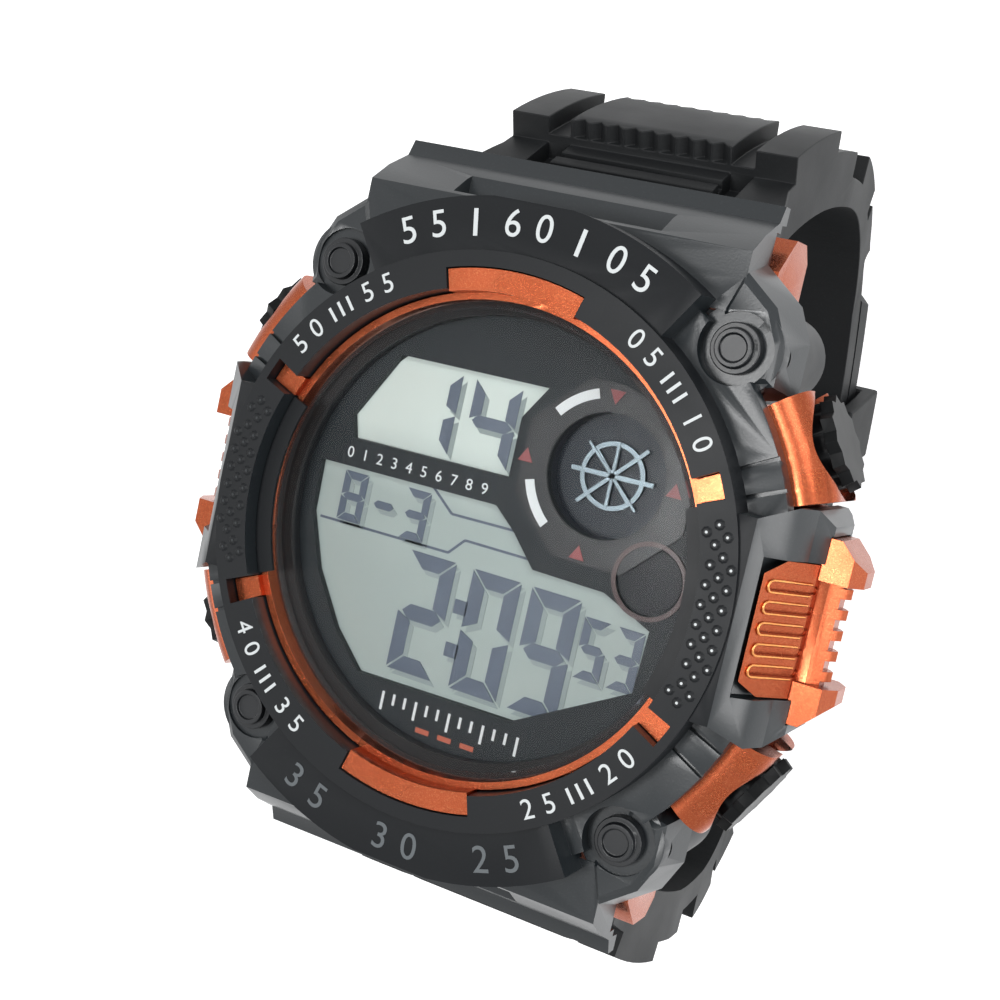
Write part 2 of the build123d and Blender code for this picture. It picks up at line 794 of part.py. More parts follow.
with BuildPart() as boss_blank:
    with BuildSketch(Plane.XY.offset(boss_bottom)):
        for sx, sy in quarter_signs:
            add(mirrored(boss_outline, sx, sy))
    extrude(amount=boss_top - boss_bottom, taper=boss_taper)
    chamfer(boss_blank.edges().group_by(Axis.Z)[-1], length=boss_bevel)

# Side blocks, a little narrower at the ring than at their outer end
block_plan = [
    (0, block_half_width - block_corner_set),
    (block_slope_start, block_half_width - block_corner_set),
    (block_slope_edge, block_half_width),
    (block_outer - block_end_cut, block_half_width),
    (block_outer, block_half_width - block_end_cut),
]
with BuildPart() as block_blank:
    with BuildSketch(Plane.XZ.offset(-block_half_width)):
        add(polygon(block_profile))
        add(polygon([(-x, z) for x, z in block_profile]))
    extrude(amount=2 * block_half_width)
    with BuildSketch(Plane.XY):
        for sx, sy in quarter_signs:
            add(mirrored([*block_plan, (block_outer, 0), (0, 0)], sx, -sy))
    extrude(amount=ring_top, mode=Mode.INTERSECT)

with BuildPart() as bezel_shell:
    with BuildSketch(Plane.XY.offset(deck_height)):
        Circle(ring_outer)
    extrude(amount=ring_top - deck_height)
    with BuildSketch(Plane.XY.offset(guard_top)):
        Circle(flange_radius)
    extrude(amount=boss_recess_floor + block_wall - guard_top)
    with BuildSketch(Plane.XY.offset(deck_height)):
        with Locations(*corner_places):
            Circle(pad_radius)
    extrude(amount=boss_recess_floor - deck_height)
    add(boss_blank.part)
    add(block_blank.part)
    with BuildSketch(Plane.YZ.offset(-shroud_half_width)):
        add(polygon(shroud_profile))
        add(polygon([(-y, z) for y, z in shroud_profile]))
    extrude(amount=2 * shroud_half_width)
    with BuildSketch(Plane.XY.offset(guard_top)):
        for angle in (90, -90):
            add(sector(ring_outer - part_gap, plate_outer, angle - plate_half_angle, 2 * plate_half_angle))
    extrude(amount=plate_top - guard_top)
    # Opening for the lens ring
    with BuildSketch(Plane.XY.offset(shroud_floor)):
        Circle(ring_inner)
    extrude(amount=ring_top, mode=Mode.SUBTRACT)
    # Notches for the inserts and the window bars
    with BuildSketch(Plane.XY.offset(shroud_floor)):
        for angle in (90, -90):
            half = insert_half_angle + degrees(part_gap / insert_outer)
            add(sector(ring_inner - overrun, insert_outer + part_gap, angle - half, 2 * half))
        for angle in window_angles:
            add(sector(ring_inner - overrun, window_outer, angle - window_half_angle, 2 * window_half_angle))
    extrude(amount=ring_top, mode=Mode.SUBTRACT)
    # Room for the case body underneath
    with BuildSketch(Plane.XY.offset(shroud_floor - overrun)):
        Circle(body_radius + fit_gap)
        with Locations(*corner_places):
            Circle(pad_radius + fit_gap)
        with Locations(*ear_places):
            Circle(back_ear_radius + fit_gap)
        Rectangle(2 * (block_outer - side_wall), 2 * (wing_half_width + fit_gap))
    extrude(amount=deck_height - shroud_floor + overrun, mode=Mode.SUBTRACT)
    side_gap = degrees(fit_gap / guard_inner)
    gate_angle = guard_size_angle + 2 * side_gap
    with BuildSketch(Plane.XY.offset(guard_bottom)):
        for angle in (guard_start_angle, 180 - guard_start_angle - guard_size_angle):
            for turn in (angle, angle + 180):
                add(sector(guard_inner, guard_outer + overrun, turn - side_gap, gate_angle))
    extrude(amount=guard_top - guard_bottom, mode=Mode.SUBTRACT)
    # Lug tops pass under the shroud
    lug_middle_y = lug_pin_y + (lug_end_radius + part_gap - lug_length) / 2
    with BuildSketch(Plane.XY.offset(guard_bottom)):
        for sx, sy in quarter_signs:
            with Locations((sx * (lug_inner_x + lug_width / 2), sy * lug_middle_y)):
                Rectangle(lug_width + 2 * part_gap, lug_length + lug_end_radius + part_gap)
    extrude(amount=lug_top + fit_gap - guard_bottom, mode=Mode.SUBTRACT)
    # Pockets of the side grips
    for side in (1, -1):
        with BuildSketch(Plane.XZ.offset(-grip_middle_y - grip_length / 2 - part_gap)):
            add(mirrored(grip_pocket, side, 1))
        extrude(amount=grip_length + 2 * part_gap, mode=Mode.SUBTRACT)
        for tab_start in tab_starts:
            with BuildSketch(Plane.XZ.offset(-tab_start - part_gap)):
                add(mirrored(tab_pocket, side, 1))
            extrude(amount=tab_length + 2 * part_gap, mode=Mode.SUBTRACT)
    # Pocket in the middle of each shroud, in front of its lip
    with BuildSketch(Plane.XY.offset(shroud_step_height - pocket_depth)):
        with Locations((0, shroud_step_y), (0, -shroud_step_y)):
            Rectangle(2 * pocket_half_width, 2 * (shroud_lip_y - shroud_lip_wall - shroud_step_y))
    extrude(amount=ring_top, mode=Mode.SUBTRACT)
    # Grooves across the flange at both edges of each window
    flange_top = boss_recess_floor + block_wall
    with BuildSketch(Plane.XY.offset(flange_top - window_groove_depth)):
        for middle in window_angles:
            for angle in (middle - window_half_angle, middle + window_half_angle):
                with PolarLocations(ring_outer + flange_width / 2, 1, angle):
                    Rectangle(flange_width + window_groove_width, window_groove_width)
    extrude(amount=window_groove_depth, mode=Mode.SUBTRACT)
    # Recess and hole of each bezel screw
    with BuildSketch(Plane.XY.offset(boss_recess_floor)):
        with Locations(*corner_places):
            Circle(boss_recess_radius)
    extrude(amount=ring_top, mode=Mode.SUBTRACT)
    with BuildSketch(Plane.XY.offset(deck_height - overrun)):
        with Locations(*corner_places):
            Circle(plug_shank_radius + fit_gap)
    extrude(amount=ring_top, mode=Mode.SUBTRACT)

bezel_shell.part.label = "bezel_shell"
export_step(bezel_shell.part, "parts/bezel_shell.step")

# Side grips, in the pockets of the side blocks
for grip_side, grip_node in ((1, "side_grip_right"), (-1, "side_grip_left")):
    with BuildPart() as side_grip:
        with BuildSketch(Plane.XZ.offset(-grip_middle_y - grip_length / 2)):
            add(mirrored(grip_profile, grip_side, 1))
        extrude(amount=grip_length)
        for tab_start in tab_starts:
            with BuildSketch(Plane.XZ.offset(-tab_start)):
                add(mirrored(tab_profile, grip_side, 1))
            extrude(amount=tab_length)
        # Outer corners of the tabs, cut away towards the ends
        with BuildSketch(Plane.XY):
            add(mirrored(tab_corner, grip_side, 1))
            add(mirrored(tab_corner, grip_side, -1))
        extrude(amount=ring_top, mode=Mode.SUBTRACT)
        # Upper corners of the face, cut away where it meets the cover
        with BuildSketch(Plane.XY):
            for end_y in (grip_top_y, -grip_bottom_y):
                with Locations((grip_side * (grip_inner_x - grip_pocket_depth / 2), end_y)):
                    Rectangle(2 * grip_corner_cut, 2 * grip_corner_cut, rotation=45)
        extrude(amount=ring_top, mode=Mode.SUBTRACT)
        # Bar with ribs between the tabs
        rib_room = 2 * (tab_end_y - tab_length)
        with BuildSketch(Plane.XZ.offset(-rib_room / 2)):
            add(mirrored(rib_bar_profile, grip_side, 1))
        extrude(amount=rib_room)
        for rib in range(slot_count):
            rib_y = (rib - (slot_count - 1) / 2) * slot_pitch
            with BuildSketch(Plane.XZ.offset(-rib_y - rib_width / 2)):
                add(mirrored(rib_profile, grip_side, 1))
            extrude(amount=rib_width)
        # Slots down the face, round at the upper end and open at the lower end
        slope_length = grip_slope_length / cos(radians(grip_slope))
        slope_top = Plane(
            origin=(grip_side * grip_inner_x, grip_middle_y, grip_inner_height),
            x_dir=(0, 1, 0),
            z_dir=(grip_side * sin(radians(grip_slope)), 0, cos(radians(grip_slope))),
        )
        slot_direction = -grip_side
        slot_length = slope_length * (1 - slot_start_share) + slot_width
        slot_centre = slope_length * slot_start_share + slot_length / 2
        with BuildSketch(slope_top):
            with Locations((0, slot_direction * slot_centre)):
                with GridLocations(slot_pitch, 0, slot_count, 1):
                    SlotOverall(slot_length, slot_width, rotation=90)
        extrude(amount=-slot_depth, mode=Mode.SUBTRACT)
    side_grip.part.label = grip_node
    export_step(side_grip.part, f"parts/{grip_node}.step")

# Bezel screws: plugs with a raised ring round a shallow dish
with BuildPart() as bezel_screws:
    with BuildSketch(Plane.XY.offset(plug_shank_bottom)):
        with Locations(*corner_places):
            Circle(plug_shank_radius)
    extrude(amount=boss_recess_floor - plug_shank_bottom)
    with BuildSketch(Plane.XY.offset(boss_recess_floor)):
        with Locations(*corner_places):
            Circle(plug_flange_radius)
    extrude(amount=plug_flange_top - boss_recess_floor)
    with BuildSketch(Plane.XY.offset(plug_flange_top)):
        with Locations(*corner_places):
            Circle(plug_ring_radius)
    extrude(amount=plug_ring_top - plug_flange_top)
    with BuildSketch(Plane.XY.offset(plug_ring_top)):
        with Locations(*corner_places):
            Circle(plug_dish_radius)
    extrude(amount=-plug_dish_depth, mode=Mode.SUBTRACT)

bezel_screws.part.label = "bezel_screws"
export_step(bezel_screws.part, "parts/bezel_screws.step")

# Crystal, with a bevelled rim, on its gasket
with BuildPart() as crystal:
    with BuildSketch(Plane.XY.offset(crystal_seat)):
        Circle(crystal_radius)
    extrude(amount=crystal_top - crystal_seat)
    chamfer(crystal.edges().group_by(Axis.Z)[-1], length=crystal_bevel)

crystal.part.label = "crystal"
export_step(crystal.part, "parts/crystal.step")

with BuildPart() as crystal_gasket:
    with BuildSketch(Plane.XY.offset(ledge_height)):
        Circle(crystal_radius)
        Circle(ledge_radius, mode=Mode.SUBTRACT)
    extrude(amount=crystal_seat - ledge_height)

crystal_gasket.part.label = "crystal_gasket"
export_step(crystal_gasket.part, "parts/crystal_gasket.step")

# Dial plate, with its windows and the opening of the sub-dial
with BuildPart() as dial_plate:
    with BuildSketch(Plane.XY.offset(dial_bottom)):
        Circle(dial_radius)
        add(polygon(upper_window), mode=Mode.SUBTRACT)
        add(polygon(lower_window), mode=Mode.SUBTRACT)
        with Locations((subdial_x, subdial_y)):
            Circle(subdial_radius, mode=Mode.SUBTRACT)
    extrude(amount=dial_thickness)
    with BuildSketch(Plane.XY.offset(dial_bottom + dial_thickness)):
        with Locations((eye_x, eye_y)):
            Circle(eye_radius)
    extrude(amount=-eye_depth, mode=Mode.SUBTRACT)

dial_plate.part.label = "dial_plate"
export_step(dial_plate.part, "parts/dial_plate.step")

# Sub-dial: a cup under the dial and the spoked wheel on its floor
with BuildPart() as subdial_cup:
    with BuildSketch(Plane.XY.offset(dial_bottom - subdial_cup_depth)):
        with Locations((subdial_x, subdial_y)):
            Circle(subdial_cup_radius)
    extrude(amount=subdial_cup_depth)
    with BuildSketch(Plane.XY.offset(dial_bottom)):
        with Locations((subdial_x, subdial_y)):
            Circle(subdial_radius)
    extrude(amount=subdial_floor_thickness - subdial_cup_depth, mode=Mode.SUBTRACT)

subdial_cup.part.label = "subdial_cup"
export_step(subdial_cup.part, "parts/subdial_cup.step")

wheel_floor = dial_bottom - subdial_cup_depth + subdial_floor_thickness
with BuildPart() as subdial_wheel:
    with BuildSketch(Plane.XY.offset(wheel_floor)):
        with Locations((subdial_x, subdial_y)):
            Circle(wheel_radius)
            Circle(wheel_radius - wheel_rim, mode=Mode.SUBTRACT)
            Circle(wheel_hub_radius)
            with PolarLocations(0, wheel_bars, 0, 180):
                Rectangle(2 * wheel_radius - wheel_rim, wheel_bar_width)
    extrude(amount=wheel_height)

subdial_wheel.part.label = "subdial_wheel"
export_step(subdial_wheel.part, "parts/subdial_wheel.step")

# Display glass and the panel that lights it, cut back at the sub-dial
lcd_outline = [
    (-lcd_half_width, lcd_top_y - lcd_top_corner),
    (lcd_top_corner - lcd_half_width, lcd_top_y),
    (subdial_x - subdial_cup_radius - outer_gap, lcd_top_y),
    (subdial_x - subdial_cup_radius - outer_gap, subdial_y - subdial_cup_radius - outer_gap),
    (lcd_half_width, subdial_y - subdial_cup_radius - outer_gap),
    (lcd_half_width, lcd_bottom_corner - lcd_bottom_y),
    (lcd_half_width - lcd_bottom_corner, -lcd_bottom_y),
    (lcd_bottom_corner - lcd_half_width, -lcd_bottom_y),
    (-lcd_half_width, lcd_bottom_corner - lcd_bottom_y),
]
with BuildPart() as lcd_glass:
    with BuildSketch(Plane.XY.offset(lcd_bottom)):
        add(polygon(lcd_outline))
    extrude(amount=lcd_glass_thickness)

lcd_glass.part.label = "lcd_glass"
export_step(lcd_glass.part, "parts/lcd_glass.step")

with BuildPart() as light_panel:
    with BuildSketch(Plane.XY.offset(lcd_bottom - reflector_thickness)):
        add(polygon(lcd_outline))
        offset(amount=-reflector_inset, kind=Kind.INTERSECTION)
    extrude(amount=reflector_thickness)

light_panel.part.label = "light_panel"
export_step(light_panel.part, "parts/light_panel.step")

# Rubber strips that carry the display's contacts down to the board
with BuildPart() as contact_strips:
    with BuildSketch(Plane.XY.offset(board_top)):
        lower_strip = (0, zebra_width / 2 + part_gap - lcd_bottom_y)
        upper_strip = (-zebra_length / 2, lcd_top_y - zebra_width / 2 - part_gap)
        with Locations(lower_strip, upper_strip):
            Rectangle(zebra_length, zebra_width)
    extrude(amount=zebra_height)

contact_strips.part.label = "contact_strips"
export_step(contact_strips.part, "parts/contact_strips.step")

# Module frame: the ring that holds board, display and dial, notched for the button stems
with BuildPart() as module_frame:
    with BuildSketch(Plane.XY.offset(frame_bottom)):
        Circle(frame_outer)
        Circle(frame_inner, mode=Mode.SUBTRACT)
    extrude(amount=dial_bottom - frame_bottom)
    with BuildSketch(Plane.XY.offset(board_bottom - shelf_thickness)):
        Circle(frame_outer)
        Circle(shelf_inner, mode=Mode.SUBTRACT)
    extrude(amount=shelf_thickness)
    with BuildSketch(Plane.XY.offset(lcd_bottom)):
        add(polygon(lcd_outline))
        offset(amount=part_gap, kind=Kind.INTERSECTION)
    extrude(amount=lcd_glass_thickness, mode=Mode.SUBTRACT)
    with BuildSketch(Plane.XY.offset(dial_bottom)):
        with Locations((subdial_x, subdial_y)):
            Circle(subdial_cup_radius + part_gap)
    extrude(amount=-subdial_cup_depth - part_gap, mode=Mode.SUBTRACT)
    for angle in button_places.values():
        with BuildSketch(radial_plane(angle, button_height, notch_depth_radius)):
            Rectangle(notch_width, notch_height)
        extrude(amount=frame_outer, mode=Mode.SUBTRACT)

module_frame.part.label = "module_frame"
export_step(module_frame.part, "parts/module_frame.step")

# Circuit board and what is mounted on it
with BuildPart() as circuit_board:
    with BuildSketch(Plane.XY.offset(board_bottom)):
        Circle(board_radius)
    extrude(amount=board_thickness)

circuit_board.part.label = "circuit_board"
export_step(circuit_board.part, "parts/circuit_board.step")

with BuildPart() as processor_chip:
    with BuildSketch(Plane.XY.offset(board_top)):
        with Locations((chip_x, 0)):
            RectangleRounded(2 * chip_half_size, 2 * chip_half_size, chip_height)
    extrude(amount=chip_height)
    fillet(processor_chip.edges().group_by(Axis.Z)[-1], radius=chip_height / 3)

processor_chip.part.label = "processor_chip"
export_step(processor_chip.part, "parts/processor_chip.step")

with BuildPart() as quartz_crystal:
    with BuildSketch(Plane.YZ.offset(quartz_x - quartz_length / 2)):
        with Locations((quartz_y, board_top + quartz_radius)):
            Circle(quartz_radius)
    extrude(amount=quartz_length)

quartz_crystal.part.label = "quartz_crystal"
export_step(quartz_crystal.part, "parts/quartz_crystal.step")

with BuildPart() as light_lamp:
    with BuildSketch(Plane.XY.offset(board_top)):
        with Locations((lamp_x, 0)):
            Rectangle(lamp_width, lamp_length)
    extrude(amount=lamp_height)

light_lamp.part.label = "light_lamp"
export_step(light_lamp.part, "parts/light_lamp.step")

# Coin cell, the steel clamp that holds it to the board, and the buzzer on the case back
cell_bottom = clamp_bottom + clamp_thickness
with BuildPart() as coin_cell:
    with BuildSketch(Plane.XY.offset(cell_bottom)):
        Circle(cell_radius)
    extrude(amount=cell_height - cell_step_height)
    with BuildSketch(Plane.XY.offset(cell_bottom + cell_height - cell_step_height)):
        Circle(cell_step_radius)
    extrude(amount=cell_step_height)

coin_cell.part.label = "coin_cell"
export_step(coin_cell.part, "parts/coin_cell.step")

with BuildPart() as cell_clamp:
    with BuildSketch(Plane.XY.offset(clamp_bottom)):
        Rectangle(2 * clamp_half_length, clamp_width)
    extrude(amount=clamp_thickness)
    leg_x = clamp_half_length - clamp_leg_width / 2
    with BuildSketch(Plane.XY.offset(clamp_bottom)):
        with Locations((leg_x, 0), (-leg_x, 0)):
            Rectangle(clamp_leg_width, clamp_width)
    extrude(amount=clamp_leg_height + clamp_thickness)

cell_clamp.part.label = "cell_clamp"
export_step(cell_clamp.part, "parts/cell_clamp.step")

with BuildPart() as buzzer:
    with BuildSketch(Plane.XY.offset(back_thickness)):
        Circle(buzzer_radius)
    extrude(amount=buzzer_thickness)

buzzer.part.label = "buzzer"
export_step(buzzer.part, "parts/buzzer.step")

# Case back with four screw ears, its gasket and its screws
with BuildPart() as case_back:
    with BuildSketch():
        Circle(back_radius)
        with Locations(*ear_places):
            Circle(back_ear_radius)
    extrude(amount=back_thickness)
    chamfer(case_back.edges().group_by(Axis.Z)[0], length=back_edge_bevel)
    with BuildSketch():
        with Locations(*ear_places):
            Circle(back_screw_head_radius + fit_gap)
    extrude(amount=back_screw_head_height, mode=Mode.SUBTRACT)
    with BuildSketch():
        with Locations(*ear_places):
            Circle(back_screw_radius + fit_gap)
    extrude(amount=back_thickness, mode=Mode.SUBTRACT)

case_back.part.label = "case_back"
export_step(case_back.part, "parts/case_back.step")

with BuildPart() as back_gasket:
    with BuildSketch(Plane.XY.offset(back_thickness)):
        Circle(back_gasket_outer - fit_gap)
        Circle(back_gasket_inner + fit_gap, mode=Mode.SUBTRACT)
    extrude(amount=back_gasket_height)

back_gasket.part.label = "back_gasket"
export_step(back_gasket.part, "parts/back_gasket.step")

with BuildPart() as back_screws:
    with BuildSketch(Plane.XY.offset(fit_gap)):
        with Locations(*ear_places):
            Circle(back_screw_head_radius)
    extrude(amount=back_screw_head_height - fit_gap)
    with BuildSketch(Plane.XY.offset(back_screw_head_height)):
        with Locations(*ear_places):
            Circle(back_screw_radius)
    extrude(amount=back_thickness - back_screw_head_height + back_screw_length - fit_gap)
    with BuildSketch(Plane.XY.offset(fit_gap)):
        with Locations(*ear_places):
            Rectangle(2 * back_screw_head_radius, driver_slot_width)
    extrude(amount=driver_slot_depth, mode=Mode.SUBTRACT)

back_screws.part.label = "back_screws"
export_step(back_screws.part, "parts/back_screws.step")

# Buttons with their springs, seals and clips
crown_points = []
for corner in range(2 * tooth_count):
    corner_radius = tooth_root_radius if corner % 2 else tooth_tip_radius
    crown_points.append(polar((0, 0), corner_radius, 180 * corner / tooth_count))
spring_start = recess_floor + spring_wire_radius + spring_end_gap
spring_length = spring_pocket_floor - spring_start - spring_wire_radius - spring_end_gap
for place, angle in button_places.items():
    with BuildPart() as button:
        with BuildSketch(radial_plane(angle, button_height, stem_inner_end)):
            Circle(stem_radius)
        extrude(amount=spring_pocket_floor - stem_inner_end)
        with BuildSketch(radial_plane(angle, button_height, neck_inner_end)):
            Circle(neck_radius)
            Circle(spring_pocket_radius, mode=Mode.SUBTRACT)
        extrude(amount=spring_pocket_floor - neck_inner_end)
        with BuildSketch(radial_plane(angle, button_height, spring_pocket_floor)):
            Circle(neck_radius)
        extrude(amount=head_start - spring_pocket_floor)
        with BuildSketch(radial_plane(angle, button_height, head_start)):
            add(polygon(crown_points))
        extrude(amount=head_length, taper=head_taper)
        for groove_start, groove_width in ((seal_start, seal_width), (clip_start, clip_thickness)):
            with BuildSketch(radial_plane(angle, button_height, groove_start)):
                Circle(stem_radius + overrun)
                Circle(seal_groove_radius, mode=Mode.SUBTRACT)
            extrude(amount=groove_width, mode=Mode.SUBTRACT)
    button.part.label = f"button_{place}"
    export_step(button.part, f"parts/button_{place}.step")

    with BuildPart() as button_seal:
        with BuildSketch(radial_plane(angle, button_height, seal_start)):
            Circle(seal_outer_radius)
            Circle(seal_groove_radius, mode=Mode.SUBTRACT)
        extrude(amount=seal_width)
    button_seal.part.label = f"button_seal_{place}"
    export_step(button_seal.part, f"parts/button_seal_{place}.step")

    with BuildPart() as button_clip:
        with BuildSketch(radial_plane(angle, button_height, clip_start)):
            Circle(clip_radius)
            Circle(seal_groove_radius, mode=Mode.SUBTRACT)
            with Locations((0, -clip_radius)):
                Rectangle(seal_groove_radius, 2 * clip_radius, mode=Mode.SUBTRACT)
        extrude(amount=clip_thickness)
    button_clip.part.label = f"button_clip_{place}"
    export_step(button_clip.part, f"parts/button_clip_{place}.step")

    coil_plane = radial_plane(angle, button_height, spring_start)
    with BuildPart() as button_spring:
        with BuildLine():
            coil = Helix(
                spring_length / spring_turns,
                spring_length,
                spring_mean_radius,
                center=coil_plane.origin,
                direction=coil_plane.z_dir,
            )
        with BuildSketch(Plane(origin=coil @ 0, z_dir=coil % 0)):
            Circle(spring_wire_radius)
        sweep(is_frenet=True)
    button_spring.part.label = f"button_spring_{place}"
    export_step(button_spring.part, f"parts/button_spring_{place}.step")

# Pins of the strap, between the lugs
for pin_side, pin_node in ((1, "lug_pin_upper"), (-1, "lug_pin_lower")):
    with BuildPart() as lug_pin:
        with BuildSketch(Plane.YZ.offset(-lug_pin_half_length)):
            with Locations((pin_side * lug_pin_y, lug_pin_height)):
                Circle(lug_pin_radius)
        extrude(amount=2 * lug_pin_half_length)
    lug_pin.part.label = pin_node
    export_step(lug_pin.part, f"parts/{pin_node}.step")

# Upper strap half: its end carries the buckle's pin in two knuckles
buckle_pin_place = loop_point(buckle_pin_drop, 0)
upper_blank = strap_blank(1, upper_inner_radius, -90)
with BuildPart() as strap_upper:
    add(upper_blank)
    with BuildSketch(Plane.YZ.offset(-strap_end_half_width)):
        with Locations(buckle_pin_place):
            Circle(strap_eye_radius)
    extrude(amount=2 * strap_end_half_width)
    with BuildSketch(Plane.YZ.offset(-tongue_half_width - knuckle_side_gap)):
        with Locations(buckle_pin_place):
            Circle(tongue_tube_radius + outer_gap)
    extrude(amount=2 * (tongue_half_width + knuckle_side_gap), mode=Mode.SUBTRACT)
    with BuildSketch(Plane.YZ.offset(-strap_end_half_width)):
        with Locations(buckle_pin_place):
            Circle(buckle_pin_radius + buckle_pin_gap)
    extrude(amount=2 * strap_end_half_width, mode=Mode.SUBTRACT)

strap_upper.part.label = "strap_upper"
export_step(strap_upper.part, "parts/strap_upper.step")

# Lower strap half: its tail runs on under the upper half, with pairs of holes and a rounded tip
lower_blank = strap_blank(-1, tail_inner_radius, -90 - tail_tip_angle)
tail_end_y = loop_point(tail_outer_radius, tail_tip_angle)[0]
with BuildPart() as strap_lower:
    add(lower_blank)
    for hole in range(hole_count):
        hole_angle = hole_first_angle + hole * hole_pitch_angle
        with BuildSketch(loop_plane(tail_inner_radius - overrun, hole_angle)):
            with Locations((hole_x, 0), (-hole_x, 0)):
                SlotOverall(hole_length, hole_width)
        extrude(amount=strap_thickness + 2 * overrun, mode=Mode.SUBTRACT)
    with BuildSketch(Plane.XY.offset(mask_bottom_height)):
        with Locations((0, tail_end_y)):
            Rectangle(2 * strap_shoulder_half_width, 2 * (tail_tip_round - strap_end_half_width) + overrun)
        with Locations((0, tail_end_y - tail_tip_round)):
            Circle(tail_tip_round, mode=Mode.SUBTRACT)
    extrude(amount=-mask_bottom_height, mode=Mode.SUBTRACT)

strap_lower.part.label = "strap_lower"
export_step(strap_lower.part, "parts/strap_lower.step")

# Buckle: pin, frame with a bar over the tail, and the tongue with its two prongs
with BuildPart() as buckle_pin:
    with BuildSketch(Plane.YZ.offset(-buckle_pin_half_length)):
        with Locations(buckle_pin_place):
            Circle(buckle_pin_radius)
    extrude(amount=2 * buckle_pin_half_length)

buckle_pin.part.label = "buckle_pin"
export_step(buckle_pin.part, "parts/buckle_pin.step")

rail_outline = [
    loop_point(buckle_pin_drop - buckle_eye_radius, 0),
    loop_point(buckle_pin_drop + buckle_eye_radius, -front_bar_angle),
    loop_point(frame_bar_outer, -front_bar_angle),
    loop_point(frame_bar_outer, front_bar_size - front_bar_angle),
    loop_point(buckle_pin_drop + buckle_eye_radius, 0),
]
loop_centre = (0, loop_centre_height)
with BuildPart() as buckle_frame:
    for rail_start in (frame_inner_half_width, -frame_outer_half_width):
        with BuildSketch(Plane.YZ.offset(rail_start)):
            add(polygon(rail_outline))
            with Locations(buckle_pin_place):
                Circle(buckle_eye_radius)
        extrude(amount=frame_outer_half_width - frame_inner_half_width)
    with BuildSketch(Plane.YZ.offset(-frame_outer_half_width)):
        add(sector(frame_bar_inner, frame_bar_outer, -90 - front_bar_angle, front_bar_size, loop_centre))
    extrude(amount=2 * frame_outer_half_width)
    with BuildSketch(Plane.YZ.offset(-buckle_pin_half_length - part_gap)):
        with Locations(buckle_pin_place):
            Circle(buckle_pin_radius + buckle_pin_gap)
    extrude(amount=2 * (buckle_pin_half_length + part_gap), mode=Mode.SUBTRACT)

buckle_frame.part.label = "buckle_frame"
export_step(buckle_frame.part, "parts/buckle_frame.step")

with BuildPart() as buckle_tongue:
    with BuildSketch(Plane.YZ.offset(-tongue_half_width)):
        with Locations(buckle_pin_place):
            Circle(tongue_tube_radius)
    extrude(amount=2 * tongue_half_width)
    prong_outer = tail_inner_radius - outer_gap
    prong_inner = prong_outer - prong_thickness
    for prong_x in (hole_x, -hole_x):
        with BuildSketch(Plane.YZ.offset(prong_x - prong_width / 2)):
            add(sector(prong_inner, prong_outer, -90 - prong_tip_angle, prong_tip_angle, loop_centre))
        extrude(amount=prong_width)
    with BuildSketch(Plane.YZ.offset(-tongue_half_width)):
        with Locations(buckle_pin_place):
            Circle(buckle_pin_radius + buckle_pin_gap)
    extrude(amount=2 * tongue_half_width, mode=Mode.SUBTRACT)

buckle_tongue.part.label = "buckle_tongue"
export_step(buckle_tongue.part, "parts/buckle_tongue.step")

# Keeper: the loop that holds the tail against the upper half
keeper_inner = upper_inner_radius - keeper_layer_gap - keeper_thickness
keeper_outer = frame_bar_inner + keeper_thickness
with BuildPart() as strap_keeper:
    with BuildSketch(Plane.YZ.offset(-keeper_outer_half_width)):
        add(sector(keeper_inner, keeper_outer, keeper_angle - 90, keeper_size, loop_centre))
    extrude(amount=2 * keeper_outer_half_width)
    with BuildSketch(Plane.YZ.offset(-keeper_inner_half_width)):
        keeper_slot = sector(
            keeper_inner + keeper_thickness,
            frame_bar_inner,
            keeper_angle - 90 - groove_angle,
            keeper_size + 2 * groove_angle,
            loop_centre,
        )
        add(keeper_slot)
    extrude(amount=2 * keeper_inner_half_width, mode=Mode.SUBTRACT)

strap_keeper.part.label = "strap_keeper"
export_step(strap_keeper.part, "parts/strap_keeper.step")
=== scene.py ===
from math import atan2, cos, pi, radians, sin

import bmesh
import bpy
from mathutils import Matrix, Vector


